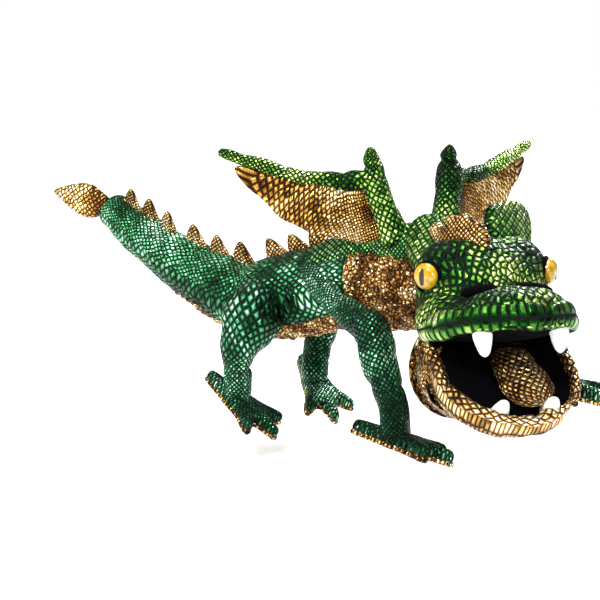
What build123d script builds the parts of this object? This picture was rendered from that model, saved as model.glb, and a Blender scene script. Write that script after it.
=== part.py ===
from build123d import *
from math import cos, radians, sin
import os

# Moving-mouth dragon glove puppet, worn on one hand. Millimetres, +Z up.
# The origin is the centre of the round hand opening under the neck. The face looks along +X,
# +Y is the dragon's left, and the body and tail trail back behind the right of the head.

os.makedirs("parts", exist_ok=True)

# Cloth, boards and clearances
CLOTH = 1.5  # foil-printed skin with its seam allowance
LINING = 1.0  # black mouth lining and pocket cloth
BOARD = 2.0  # stiffener behind each half of the mouth
EASE = 0.4  # between a skin and its filling
BODY_GAP = 0.8  # between bodies that turn on each other

# Glove and hand opening
CUFF_R = 38.0  # clear radius of the hand opening
CUFF_LEN = 26.0  # straight stretch of the opening
SLEEVE_END = 54.0  # where the sleeve stops behind the jaw
SLEEVE_END_HALF = (48.5, 30.5)  # clear half-width and half-height there
SLEEVE_END_Z = 8.0
HEM_R = 2.2

# Mouth
HINGE = Vector(75, 0, 35)  # on the line through both mouth corners
HEAD_PITCH = 12.0
JAW_PITCH = -36.0
MOUTH_SET = 3.0  # each mouth lining lies this far from the hinge plane
ROOF_Z = MOUTH_SET + LINING + BOARD + 0.2
SNOUT_R = 62.0
SNOUT_X = 4.0  # the snout and upper lip are round about this point
SNOUT_TOP = 48.0
LIP_IN = 5.5  # thickness of the padded lip
LIP_TALL = 12.0
JAW_R = 58.0
JAW_X = 24.0
JAW_DEPTH = 30.0
JAW_LIP = 7.0
JAW_RIM = 9.0
BOARD_BACK = 3.0  # boards stop this far ahead of the hinge line

# Skull, eyes and trims, in the head's own tipped frame
SKULL = Vector(-22, 0, 40)
SKULL_HALF_WIDTH = 54.0
SKULL_R = 44.0
BROW = Vector(-22, 30, 60)
BROW_R = 24.0
EYE_R = 10.0
EYE_TURN = 55.0  # each eye looks this far out from straight ahead
EYE_DROP = 8.0
POST_R = 2.5
POST_LEN = 9.0
WASHER_R = 8.0
TOOTH_LEN = 20.0
TOOTH_R = 7.5

# Pockets for the fingers and the thumb
FINGER_HALF = (35.0, 13.0)
FINGER_BACK = -18.0
FINGER_FRONT = 38.0
THUMB_HALF = (16.5, 8.7)
THUMB_FRONT = 52.0

# Spine: place and radius from the neck to the tail end
NECK = [((-8, -4, 77), 27), ((-34, -15, 71), 31), ((-66, -32, 67), 34), ((-97, -52, 63), 35),
        ((-134, -76, 52), 36), ((-170, -100, 42), 35), ((-197, -122, 37), 31)]
TAIL = [((-197, -122, 37), 31), ((-228, -150, 50), 27), ((-262, -179, 68), 23)]
TAIL_END = [((-262, -179, 68), 23), ((-295, -202, 88), 19.5), ((-329, -227, 109), 15)]
SEAM = 1.5  # degrees between neighbouring panels
BELLY_SPAN = 96.0
TAIL_SPAN = 70.0
SPIKE_T = 4.0

UP = Vector(0, 0, 1)


def unit(vector):
    """The same direction, one long."""
    return Vector(vector).normalized()


def tipped(pitch):
    """Frame at the hinge: X forward, Y to the left, Z up, tipped up by pitch."""
    tip = radians(pitch)
    return Plane(origin=HINGE, x_dir=(cos(tip), 0, sin(tip)), z_dir=(-sin(tip), 0, cos(tip)))


HEAD = tipped(HEAD_PITCH)
JAW = tipped(JAW_PITCH)


def side_of(frame, x=0.0, y=0.0, z=0.0):
    """Section plane seen from the right: X forward, Y up."""
    return Plane(origin=frame.from_local_coords((x, y, z)), x_dir=frame.x_dir, z_dir=-frame.y_dir)


def front_of(frame, x=0.0, y=0.0, z=0.0):
    """Section plane seen from ahead: X to the left, Y up."""
    return Plane(origin=frame.from_local_coords((x, y, z)), x_dir=frame.y_dir, z_dir=frame.x_dir)


def plan_of(frame, z):
    """Plan plane at a height: X forward, Y to the left."""
    return Plane(origin=frame.from_local_coords((0, 0, z)), x_dir=frame.x_dir, z_dir=frame.z_dir)


def save(piece, name):
    """Label a finished piece and write it."""
    piece.label = name
    export_step(piece, f"parts/{name}.step")


def spine_planes(stations):
    """One plane across the spine at each station: X to the right, Y up, Z toward the tail."""
    places = [Vector(*place) for place, _ in stations]
    planes = []
    for index, place in enumerate(places):
        before = places[max(index - 1, 0)]
        after = places[min(index + 1, len(places) - 1)]
        back = unit(after - before)
        right = unit(UP.cross(back))
        planes.append(Plane(origin=place, x_dir=right, z_dir=back))
    return planes


def sections(stations):
    """Plane and radius of each station, with the joints between pieces in shared planes."""
    return [(plane, radius) for plane, (_, radius) in zip(spine_planes(stations), stations)]


def tube(rings, shrink=0.0):
    """Round body along the spine, its skin drawn in by shrink."""
    with BuildPart() as body:
        for plane, radius in rings:
            with BuildSketch(plane):
                Circle(radius - shrink)
        loft(ruled=True)
    return body.part


def panel(rings, start, sweep):
    """Sewn skin panel: a strip of the tube's wall between two angles."""
    with BuildPart() as body:
        for plane, radius in rings:
            with BuildSketch(plane):
                with BuildLine():
                    outer = CenterArc((0, 0), radius, start, sweep)
                    inner = CenterArc((0, 0), radius - CLOTH, start, sweep)
                    Line(outer @ 0, inner @ 0)
                    Line(outer @ 1, inner @ 1)
                make_face()
        loft(ruled=True)
    return body.part


def ball(place, radius):
    """Sphere used to round or hollow a joint."""
    with BuildPart() as body:
        with Locations(Location(place)):
            Sphere(radius)
    return body.part


def half_space(plane, reach=400.0):
    """Everything on the +Z side of a plane, as a cutter."""
    with BuildPart() as body:
        with BuildSketch(plane):
            Rectangle(reach, reach)
        extrude(amount=reach)
    return body.part


def wads(filling, frame, top, bottom, side, front):
    """Filling pushed in as separate wads: above, below, beside and ahead of a pocket, and at its corners."""
    above = half_space(plan_of(frame, top))
    below = half_space(Plane(origin=frame.from_local_coords((0, 0, bottom)), x_dir=frame.x_dir,
                             z_dir=-frame.z_dir))
    ahead = half_space(Plane(origin=frame.from_local_coords((front, 0, 0)), z_dir=frame.x_dir))
    upper = half_space(plan_of(frame, (top + bottom) / 2))
    level = filling - above - below
    beside = [half_space(Plane(origin=frame.from_local_coords((0, hand * side, 0)),
                               z_dir=frame.y_dir * hand)) for hand in (-1, 1)]
    slices = [half_space(Plane(origin=frame.from_local_coords((0, share * side, 0)), z_dir=frame.y_dir))
              for share in (-0.62, 0, 0.62)]
    middle = level - beside[0] - beside[1]
    around = middle - ahead
    strips = [around - slices[0], around & slices[0] - slices[1], around & slices[1] - slices[2],
              around & slices[2]]
    corners = [part for strip in strips for part in (strip & upper, strip - upper)]
    parts = [filling & above, filling & below, level & beside[0], level & beside[1], middle & ahead, *corners]
    return Part(children=[wad for part in parts for wad in part.solids() if wad.volume > 5])


def limb(stations):
    """Stuffed limb: cones joined by round knuckles."""
    with BuildPart() as body:
        for (start, start_r), (end, end_r) in zip(stations, stations[1:]):
            along = Vector(*end) - Vector(*start)
            with BuildSketch(Plane(origin=start, z_dir=along)):
                Circle(start_r)
            with BuildSketch(Plane(origin=end, z_dir=along)):
                Circle(end_r)
            loft(ruled=True)
        for place, radius in stations:
            with Locations(Location(place)):
                Sphere(radius)
    return body.part


def slab(plane, outline, thick, round_r=0.0):
    """Flat padded piece: an outline in a plane, thick to both sides of it."""
    with BuildPart() as body:
        with BuildSketch(plane):
            with BuildLine():
                Polyline(*outline, close=True)
            make_face()
            if round_r:
                fillet(vertices(), radius=round_r)
        extrude(amount=thick / 2, both=True)
    return body.part


# Head: skin, filling and the space for the hand -----------------------------------------------


def head_form(shrink):
    """Snout, skull and brows as one solid, drawn in by shrink and open over the mouth board."""
    rim = SNOUT_R - LIP_IN + shrink
    with BuildPart() as form:
        with BuildSketch(side_of(HEAD, SNOUT_X)):
            with BuildLine():
                dome = EllipticalCenterArc((0, LIP_TALL), SNOUT_R - shrink,
                                           SNOUT_TOP - LIP_TALL - shrink, arc_size=90)
                Polyline(dome @ 1, (0, ROOF_Z), (rim, ROOF_Z), (rim, 1 + shrink),
                         (SNOUT_R - shrink, 1 + shrink), dome @ 0)
            make_face()
        revolve(axis=Axis(HEAD.from_local_coords((SNOUT_X, 0, 0)), HEAD.z_dir))
        with BuildSketch(front_of(HEAD, *SKULL)):
            with BuildLine():
                half = (SKULL_HALF_WIDTH - shrink, SKULL_R - shrink)
                left = EllipticalCenterArc((0, 0), *half, arc_size=90)
                right = EllipticalCenterArc((0, 0), *half, start_angle=90, arc_size=90)
                Line(right @ 1, left @ 0)
            make_face()
        revolve(axis=Axis(HEAD.from_local_coords(tuple(SKULL)), HEAD.y_dir))
        for side in (-1, 1):
            place = HEAD.from_local_coords((BROW.X, side * BROW.Y, BROW.Z))
            with Locations(Location(place)):
                Sphere(BROW_R - shrink)
        add(half_space(Plane(origin=HEAD.from_local_coords((0, 0, ROOF_Z)), x_dir=HEAD.x_dir,
                             z_dir=-HEAD.z_dir)) & mouth_room.part, mode=Mode.SUBTRACT)
    return form.part


def sleeve_form(grow):
    """Clear space inside the glove sleeve, let out by grow."""
    with BuildPart() as form:
        with BuildSketch(Plane.YZ):
            Circle(CUFF_R + grow)
        extrude(amount=CUFF_LEN)
        with BuildSketch(Plane.YZ.offset(CUFF_LEN)):
            Circle(CUFF_R + grow)
        with BuildSketch(Plane(origin=(SLEEVE_END, 0, SLEEVE_END_Z), x_dir=(0, 1, 0), z_dir=(1, 0, 0))):
            Ellipse(SLEEVE_END_HALF[0] + grow, SLEEVE_END_HALF[1] + grow)
        loft(ruled=True)
    return form.part


def eye_frame(side):
    """Frame on the brow: Z looks out of the eye."""
    turn = radians(EYE_TURN)
    drop = radians(EYE_DROP)
    look = Vector(cos(turn) * cos(drop), side * sin(turn) * cos(drop), -sin(drop))
    place = Vector(BROW.X, side * BROW.Y, BROW.Z) + look * (BROW_R + 0.1)
    out = HEAD.from_local_coords(look) - HEAD.origin
    return Plane(origin=HEAD.from_local_coords(place), x_dir=out.cross(UP), z_dir=out)


def post_hole(side, radius, depth):
    """Room for an eye's post and washer inside the head, and the dent its dome sits in."""
    with BuildPart() as body:
        with BuildSketch(eye_frame(side).offset(-depth)):
            Circle(radius)
        extrude(amount=depth + 0.2)
        with BuildSketch(eye_frame(side).offset(-0.1)):
            Circle(EYE_R + 0.3)
        extrude(amount=20)
    return body.part


with BuildPart() as mouth_room:
    # the half-disc under the roof of the mouth, ahead of the hinge
    with BuildSketch(plan_of(HEAD, -60)):
        with Locations((SNOUT_X, 0)):
            Circle(SNOUT_R - LIP_IN)
        with Locations((-100 + BOARD_BACK - 1, 0)):
            Rectangle(200, 200, mode=Mode.SUBTRACT)
    extrude(amount=60 + ROOF_Z)

finger_z = ROOF_Z + FINGER_HALF[1] + LINING + 0.3
with BuildPart() as channel:
    # the way from the sleeve up into the finger pocket
    with BuildSketch(Plane.YZ.offset(14)):
        Circle(CUFF_R - 2)
    with BuildSketch(front_of(HEAD, FINGER_BACK, 0, finger_z)):
        Ellipse(FINGER_HALF[0] + LINING + 0.2, FINGER_HALF[1] + LINING + 0.2)
    loft(ruled=True)
    with BuildSketch(front_of(HEAD, FINGER_BACK, 0, finger_z)):
        Ellipse(FINGER_HALF[0] + LINING + 0.2, FINGER_HALF[1] + LINING + 0.2)
    extrude(amount=FINGER_FRONT - FINGER_BACK + 0.2)

neck_pivot = Vector(*NECK[0][0])
neck_socket = ball(neck_pivot, NECK[0][1] + BODY_GAP)

with BuildPart() as head_skin:
    add(head_form(0))
    add(head_form(CLOTH), mode=Mode.SUBTRACT)
    add(sleeve_form(0), mode=Mode.SUBTRACT)
    add(channel.part, mode=Mode.SUBTRACT)
    add(neck_socket, mode=Mode.SUBTRACT)
    add(post_hole(-1, POST_R + 0.1, 6), mode=Mode.SUBTRACT)
    add(post_hole(1, POST_R + 0.1, 6), mode=Mode.SUBTRACT)
save(head_skin.part.solids().sort_by(SortBy.VOLUME)[-1], "head_skin")

with BuildPart() as head_stuffing:
    add(head_form(CLOTH + EASE))
    add(sleeve_form(EASE), mode=Mode.SUBTRACT)
    add(channel.part, mode=Mode.SUBTRACT)
    add(neck_socket, mode=Mode.SUBTRACT)
    add(post_hole(-1, WASHER_R + 0.3, POST_LEN + 0.5), mode=Mode.SUBTRACT)
    add(post_hole(1, WASHER_R + 0.3, POST_LEN + 0.5), mode=Mode.SUBTRACT)
pocket_half = FINGER_HALF[1] + LINING + 0.3
save(wads(head_stuffing.part, HEAD, finger_z + pocket_half, finger_z - pocket_half,
          FINGER_HALF[0] + LINING + 0.3, FINGER_FRONT + 0.3), "head_stuffing")

with BuildPart() as glove_sleeve:
    add(sleeve_form(CLOTH))
    add(sleeve_form(0), mode=Mode.SUBTRACT)
    add(head_form(-0.1), mode=Mode.SUBTRACT)
save(glove_sleeve.part, "glove_sleeve")

with BuildPart() as cuff_hem:
    with BuildSketch(Plane.XZ):
        with Locations((HEM_R, CUFF_R + CLOTH + HEM_R + 0.1)):
            Circle(HEM_R)
    revolve(axis=Axis.X)
save(cuff_hem.part, "cuff_hem")

with BuildPart() as finger_pocket:
    with BuildSketch(front_of(HEAD, FINGER_BACK, 0, finger_z)):
        Ellipse(FINGER_HALF[0] + LINING, FINGER_HALF[1] + LINING)
    extrude(amount=FINGER_FRONT - FINGER_BACK)
    with BuildSketch(front_of(HEAD, FINGER_BACK, 0, finger_z)):
        Ellipse(*FINGER_HALF)
    extrude(amount=FINGER_FRONT - FINGER_BACK - LINING, mode=Mode.SUBTRACT)
save(finger_pocket.part, "finger_pocket")


def roof_plate(z, thick):
    """Half-disc of the upper mouth at a height."""
    with BuildPart() as plate:
        with BuildSketch(plan_of(HEAD, z)):
            with Locations((SNOUT_X, 0)):
                Circle(SNOUT_R - LIP_IN - 0.5)
            with Locations((BOARD_BACK - 100, 0)):
                Rectangle(200, 200, mode=Mode.SUBTRACT)
        extrude(amount=thick)
    return plate.part


save(roof_plate(MOUTH_SET + LINING, BOARD), "upper_mouth_board")
save(roof_plate(MOUTH_SET, LINING), "upper_mouth_lining")


# Eyes, teeth, ears and crest --------------------------------------------------------------------


def eye(side):
    """Moulded eye: a dome with a moulded post behind it."""
    frame = eye_frame(side)
    with BuildPart() as body:
        with BuildSketch(Plane(origin=frame.origin, x_dir=frame.x_dir, z_dir=-frame.y_dir)):
            with BuildLine():
                dome = EllipticalCenterArc((0, 1), EYE_R, 6, arc_size=90)
                Polyline(dome @ 1, (0, 0), (EYE_R, 0), dome @ 0)
            make_face()
        revolve(axis=Axis(frame.origin, frame.z_dir))
        with BuildSketch(frame):
            Circle(POST_R)
        extrude(amount=-POST_LEN)
        with BuildSketch(frame.offset(3)):
            Ellipse(2.2, 6.5)
        extrude(amount=10, mode=Mode.SUBTRACT)
    return body.part


def pupil(side):
    """Slit pupil that sits in the dome."""
    frame = eye_frame(side)
    with BuildPart() as body:
        with BuildSketch(frame.offset(3.1)):
            Ellipse(2.1, 6.4)
        extrude(amount=3.6)
    return body.part


def washer(side):
    """Locking washer pressed on the eye's post inside the head."""
    frame = eye_frame(side).offset(-5.5)
    with BuildPart() as body:
        with BuildSketch(frame):
            Circle(WASHER_R)
            Circle(POST_R + 0.05, mode=Mode.SUBTRACT)
        extrude(amount=2)
    return body.part


for side, hand in ((-1, "right"), (1, "left")):
    save(eye(side), f"{hand}_eye")
    save(pupil(side), f"{hand}_pupil")
with BuildPart() as eye_washers:
    add(washer(-1))
    add(washer(1))
save(eye_washers.part, "eye_washers")


def tooth(frame, x, y, z, point):
    """Stuffed felt tooth: a blunt cone that points up (+1) or down (-1)."""
    with BuildPart() as body:
        with BuildSketch(side_of(frame, x, y, z)):
            with BuildLine():
                tip = point * TOOTH_LEN
                flank = Bezier((TOOTH_R, 0), (TOOTH_R, 0.6 * tip), (1.5, tip), (0, tip))
                Polyline(flank @ 1, (0, 0), flank @ 0)
            make_face()
        revolve(axis=Axis(frame.from_local_coords((x, y, z)), frame.z_dir))
    return body.part


UPPER_TOOTH = (42, 28)
LOWER_TOOTH = (62, 18)
for side, hand in ((-1, "right"), (1, "left")):
    upper = tooth(HEAD, UPPER_TOOTH[0], side * UPPER_TOOTH[1], MOUTH_SET - 0.1, -1)
    save(upper, f"upper_{hand}_tooth")
    lower = tooth(JAW, LOWER_TOOTH[0], side * LOWER_TOOTH[1], 0.1 - MOUTH_SET, 1)
    save(lower, f"lower_{hand}_tooth")

EAR_T = 10.0
CREST_T = 5.0


def ear(side, lean):
    """Padded fan behind an eye, leaning back from upright by lean degrees."""
    root = HEAD.from_local_coords((-42, side * 36, 80))
    tip = radians(lean)
    rise = Vector(-sin(tip), 0, cos(tip))
    ahead = Vector(cos(tip), 0, sin(tip))
    plane = Plane(origin=root, x_dir=ahead, z_dir=ahead.cross(rise))
    outline = [(-14, 2), (14, 2), (24, 30), (20, 42), (-18, 44), (-26, 30)]
    fan = slab(plane, outline, EAR_T, 5)
    return fan - head_form(-0.3)


save(ear(1, 4), "left_ear")
save(ear(-1, 48), "right_ear")

crest_outline = [(-62, 60), (-62, 92), (-46, 96), (-40, 104), (-26, 96), (-22, 102), (-8, 92),
                 (-4, 96), (8, 84), (14, 84), (24, 66), (24, 40), (-40, 60)]
head_crest = slab(side_of(HEAD), crest_outline, CREST_T) - head_form(-0.2) - neck_socket
save(head_crest, "head_crest")


def nostril(side):
    """Dark cloth slot let into the snout."""
    with BuildPart() as body:
        with BuildSketch(plan_of(HEAD, 20)):
            with Locations(Location((30, side * 26, 0), side * 25)):
                SlotOverall(26, 8)
        extrude(amount=40)
    shell = head_form(-0.9) - head_form(-0.2)
    return body.part & shell


save(nostril(-1), "right_nostril")
save(nostril(1), "left_nostril")


# Lower jaw --------------------------------------------------------------------------------------


def jaw_form(shrink):
    """Domed underside of the jaw with its padded rim, drawn in by shrink."""
    outer = JAW_R - shrink
    rim = JAW_R - JAW_LIP + shrink
    depth = JAW_DEPTH - JAW_RIM - shrink
    with BuildPart() as form:
        with BuildSketch(front_of(JAW, JAW_X)):
            with BuildLine():
                bowl = EllipticalCenterArc((0, -JAW_RIM), outer, depth, start_angle=270, arc_size=90)
                Polyline(bowl @ 1, (outer, -0.5 - shrink), (rim, -0.5 - shrink), (rim, -ROOF_Z),
                         (0, -ROOF_Z), bowl @ 0)
            make_face()
        revolve(axis=Axis(JAW.from_local_coords((JAW_X, 0, 0)), JAW.z_dir))
        split(bisect_by=Plane(origin=JAW.from_local_coords((JAW_X, 0, 0)), z_dir=JAW.x_dir),
              keep=Keep.TOP)
        with BuildSketch(front_of(JAW, JAW_X)):
            with BuildLine():
                bowl = EllipticalCenterArc((0, -JAW_RIM), outer, depth, start_angle=180, arc_size=180)
                Polyline(bowl @ 1, (outer, -0.5 - shrink), (rim, -0.5 - shrink), (rim, -ROOF_Z),
                         (-rim, -ROOF_Z), (-rim, -0.5 - shrink), (-outer, -0.5 - shrink), bowl @ 0)
            make_face()
        extrude(amount=BOARD_BACK - JAW_X)
    return form.part


thumb_z = -ROOF_Z - THUMB_HALF[1] - LINING - 0.2


def thumb_room(grow, front):
    """Elliptical pocket shape along the jaw."""
    with BuildPart() as room:
        with BuildSketch(front_of(JAW, BOARD_BACK, 0, thumb_z)):
            Ellipse(THUMB_HALF[0] + grow, THUMB_HALF[1] + grow)
        extrude(amount=front - BOARD_BACK)
    return room.part


save(jaw_form(0) - jaw_form(CLOTH), "jaw_skin")
thumb_half = THUMB_HALF[1] + LINING + 0.3
save(wads(jaw_form(CLOTH + EASE) - thumb_room(LINING + 0.2, THUMB_FRONT + 0.2), JAW,
          thumb_z + thumb_half, thumb_z - thumb_half, THUMB_HALF[0] + LINING + 0.3, THUMB_FRONT + 0.3),
     "jaw_stuffing")
save(thumb_room(LINING, THUMB_FRONT) - thumb_room(0, THUMB_FRONT - LINING), "thumb_pocket")


def floor_plate(z, thick):
    """Rounded plate of the lower mouth, hanging down from a height."""
    reach = JAW_R - JAW_LIP - 0.5
    with BuildPart() as plate:
        with BuildSketch(plan_of(JAW, z)):
            with Locations((JAW_X, 0)):
                Circle(reach)
            with Locations((JAW_X / 2, 0)):
                Rectangle(JAW_X, 2 * reach)
            with Locations((BOARD_BACK - 100, 0)):
                Rectangle(200, 200, mode=Mode.SUBTRACT)
        extrude(amount=-thick)
    return plate.part


save(floor_plate(-MOUTH_SET - LINING, BOARD), "lower_mouth_board")
save(floor_plate(-MOUTH_SET, LINING), "lower_mouth_lining")

TONGUE_HALF = (15.0, 10.0)
with BuildPart() as tongue:
    with BuildSketch(plan_of(JAW, 0.1 - MOUTH_SET)):
        with Locations((30, 4)):
            SlotOverall(44, 2 * TONGUE_HALF[0])
    extrude(amount=TONGUE_HALF[1], taper=25)
save(tongue.part, "tongue")


# Neck and torso ---------------------------------------------------------------------------------

tail_pivot = Vector(*TAIL[0][0])
end_pivot = Vector(*TAIL_END[0][0])
SEAM_GAP = 0.3  # between panels sewn end to end

spine = sections(NECK)
seam_plane, seam_radius = spine[2]
neck_rings = spine[:3]
trunk_rings = [(seam_plane.offset(SEAM_GAP), seam_radius)] + spine[3:]
belly_start = 270 - BELLY_SPAN / 2
back_start = 270 + BELLY_SPAN / 2 + SEAM
back_sweep = 360 - BELLY_SPAN - 2 * SEAM
save(panel(neck_rings, back_start, back_sweep), "neck_back_panel")
save(panel(neck_rings, belly_start, BELLY_SPAN), "neck_throat_panel")
save(panel(trunk_rings, back_start, back_sweep), "torso_back_panel")
save(panel(trunk_rings, belly_start, BELLY_SPAN), "belly_panel")

with BuildPart() as torso_stuffing:
    add(tube(spine, CLOTH + EASE))
    add(ball(neck_pivot, NECK[0][1] - CLOTH - EASE))
    add(ball(tail_pivot, TAIL[0][1] - CLOTH - EASE))
save(torso_stuffing.part, "torso_stuffing")


# Tail -------------------------------------------------------------------------------------------


def after_joint(stations, share=0.42):
    """Stations that start a little past the joint, so the piece can turn there."""
    (first, first_r), (second, second_r) = stations[:2]
    start = Vector(*first)
    along = Vector(*second) - start
    part_way = share * first_r / along.length
    radius = first_r + (second_r - first_r) * part_way
    return [(tuple(start + along * part_way), radius)] + list(stations[1:])


def tail_section(stations, pivot, name, round_end):
    """One stuffed length of tail with its two skins, hollowed where it turns on the one before."""
    own = sections(after_joint(stations))
    socket = ball(pivot, stations[0][1] + BODY_GAP)
    strip_start = 270 - TAIL_SPAN / 2
    skin_start = 270 + TAIL_SPAN / 2 + SEAM
    filling = tube(own, CLOTH + EASE) - socket
    if round_end:
        place, radius = stations[-1]
        filling += ball(Vector(*place), radius - CLOTH - EASE)
    save(filling, f"{name}_stuffing")
    save(panel(own, skin_start, 360 - TAIL_SPAN - 2 * SEAM) - socket, f"{name}_skin")
    save(panel(own, strip_start, TAIL_SPAN) - socket, f"{name}_underside")


tail_section(TAIL, tail_pivot, "tail", True)
tail_section(TAIL_END, end_pivot, "tail_end", False)

TIP_LEN = 66.0
TIP_WIDE = 34.0
tip_base = Vector(*TAIL_END[-1][0])
tip_along = unit(Vector(-56, -58, 17))
tip_plane = Plane(origin=tip_base + tip_along * 1.0, x_dir=tip_along, z_dir=tip_along.cross(UP))
tip_outline = [(0, -8), (14, -TIP_WIDE / 2), (34, -TIP_WIDE / 2 + 2), (TIP_LEN, 0),
               (34, TIP_WIDE / 2 - 2), (14, TIP_WIDE / 2), (0, 8)]
save(slab(tip_plane, tip_outline, 12, 3) - tube(sections(TAIL_END), -0.3), "tail_tip")


# Spikes along the back --------------------------------------------------------------------------


def spikes(stations, shares, height, length, name):
    """Row of fins on top of the spine, leaning back."""
    planes = spine_planes(stations)
    with BuildPart() as row:
        for span, share in shares:
            low, high = planes[span], planes[span + 1]
            place = low.origin + (high.origin - low.origin) * share
            radius = stations[span][1] + (stations[span + 1][1] - stations[span][1]) * share
            back = unit(high.origin - low.origin)
            right = unit(UP.cross(back))
            up = unit(back.cross(right))
            plane = Plane(origin=place + up * radius, x_dir=back, z_dir=-right)
            with BuildSketch(plane):
                with BuildLine():
                    Polyline((-length / 2, -3), (length / 2, -3), (length / 2 + 2, height),
                             (-length / 2, 1), close=True)
                make_face()
            extrude(amount=SPIKE_T / 2, both=True)
    save(row.part - tube(sections(stations), -0.2), name)


spikes(NECK, [(1, 0.1), (1, 0.85), (2, 0.5), (3, 0.1), (3, 0.7), (4, 0.3), (4, 0.9)], 14, 22,
       "back_spikes")
spikes(after_joint(TAIL), [(0, 0.5), (1, 0.2), (1, 0.8)], 14, 18, "tail_spikes")
spikes(after_joint(TAIL_END), [(0, 0.45), (1, 0.1), (1, 0.6)], 12, 16, "tail_end_spikes")


# Legs: each turns about a pin line square to the side of the body ---------------------------------

FRONT_RIGHT = unit(Vector(0.293, -0.957, 0))
HIND_RIGHT = unit(Vector(0.60, -0.80, 0))
FOOT_T = 9.0
SOLE_T = 2.0
FOOT_OUTLINE = [(-20, -9), (-32, 0), (-20, 9), (-6, 12), (12, 18), (34, 22), (24, 9), (42, 3),
                (26, -5), (36, -18), (14, -17), (-6, -12)]


def foot_frame(ankle, toe, drop):
    """Frame of a sole: X toward the toes, Z up."""
    ahead = Vector(toe[0] - ankle[0], toe[1] - ankle[1], 0).normalized()
    tip = radians(drop)
    along = ahead * cos(tip) - UP * sin(tip)
    upward = ahead * sin(tip) + UP * cos(tip)
    return Plane(origin=Vector(*ankle), x_dir=along, z_dir=upward)


def leg(name, stations, toe, drop, wall):
    """Stuffed leg with a foot and a sole, all outside the wall plane that clears the body."""
    ankle = stations[-1][0]
    frame = foot_frame(ankle, toe, drop)
    sole_plane = frame.offset(-stations[-1][1] - FOOT_T / 2)
    shaft = limb(stations) - half_space(wall)
    foot_top = slab(sole_plane, FOOT_OUTLINE, FOOT_T, 2)
    save(shaft - slab(sole_plane, FOOT_OUTLINE, FOOT_T + 0.2, 2), f"{name}_leg")
    save(foot_top, f"{name}_foot")
    save(slab(sole_plane.offset(-FOOT_T / 2 - SOLE_T / 2 - 0.1), FOOT_OUTLINE, SOLE_T, 2),
         f"{name}_sole")


def wall_plane(centre, out, radius):
    """Plane just outside the body's side, facing inward."""
    return Plane(origin=Vector(*centre) + out * (radius + BODY_GAP), z_dir=-out)


FRONT_CENTRE = (-40, -18, 70)
HIND_CENTRE = (-165, -97, 42)
LEGS = {
    "right_front": ([(-28, -66, 62), 17], [(-6, -66, 34), 18], [(26, -62, -26), 13],
                    (66, -18), 4, FRONT_CENTRE, FRONT_RIGHT, 36),
    "left_front": ([(-50, 28, 68), 17], [(-34, 48, 46), 17], [(12, 76, 8), 13],
                   (52, 104), 6, FRONT_CENTRE, -FRONT_RIGHT, 36),
    "right_hind": ([(-142, -138, 34), 19], [(-138, -146, 14), 18], [(-140, -148, -24), 13],
                   (-104, -122), 18, HIND_CENTRE, HIND_RIGHT, 36),
    "left_hind": ([(-196, -58, 36), 17], [(-198, -54, 14), 17], [(-186, -64, -24), 13],
                  (-150, -58), 18, HIND_CENTRE, -HIND_RIGHT, 36),
}
for name, (top, knee, ankle, toe, drop, centre, out, radius) in LEGS.items():
    leg(name, [top, knee, ankle], toe, drop, wall_plane(centre, out, radius))


# Wings: each flaps about a line along the back ----------------------------------------------------

WING_ORIGIN = Vector(-20, -10, 0)
AHEAD = unit(Vector(0.957, 0.293, 0))
WING_TURN = {1: 0.0, -1: 19.0}  # the left wing is swung this far forward, in degrees
WING_POINTS = {"root": (-28.4, 26.1, 105), "wrist": (-46.3, 36.4, 171), "dip": (-59.4, 56.5, 151),
               "mid": (-79.2, 82.2, 155), "tip": (-117.6, 136, 173.5)}


def wing_point(side, ahead, out, height):
    """Point given ahead of, out from and above the middle of the shoulders."""
    root_ahead, root_out, _ = WING_POINTS["root"]
    root = WING_ORIGIN + AHEAD * root_ahead + FRONT_RIGHT * (side * root_out)
    reach = AHEAD * (ahead - root_ahead) + FRONT_RIGHT * (side * (out - root_out))
    return root + reach.rotate(Axis.Z, -WING_TURN[side]) + UP * height


def wing(side, hand):
    """Stuffed arm and leading edge with the flat membrane behind them."""
    at = {key: wing_point(side, *value) for key, value in WING_POINTS.items()}
    arm = limb([(tuple(at["root"]), 9), (tuple(at["wrist"]), 7)])
    edge = limb([(tuple(at["dip"]), 6.5), (tuple(at["mid"]), 6), (tuple(at["tip"]), 4)])
    link = limb([(tuple(at["wrist"]), 7), (tuple(at["dip"]), 6.5)])
    flat = Plane(origin=at["root"], x_dir=at["tip"] - at["root"],
                 z_dir=(at["tip"] - at["root"]).cross(at["wrist"] - at["root"]))
    outline = [(-30, 30, 112), (-46.3, 36.4, 168), (-59.4, 56.5, 149), (-79.2, 82.2, 153),
               (-116, 134, 171), (-98, 106, 126), (-78, 84, 112), (-62, 62, 108), (-44, 44, 104)]
    corners = [flat.to_local_coords(wing_point(side, *corner)) for corner in outline]
    sheet = slab(flat, [(corner.X, corner.Y) for corner in corners], 3)
    bones = arm + link
    save(bones, f"{hand}_wing_arm")
    save(edge - bones, f"{hand}_wing_edge")
    save(sheet - bones - edge, f"{hand}_wing_membrane")


wing(1, "right")
wing(-1, "left")
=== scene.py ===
import math

import bmesh
import bpy
import numpy as np
from bpy.props import FloatProperty, FloatVectorProperty, IntProperty, PointerProperty
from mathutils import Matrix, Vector
from mathutils.kdtree import KDTree


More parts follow.
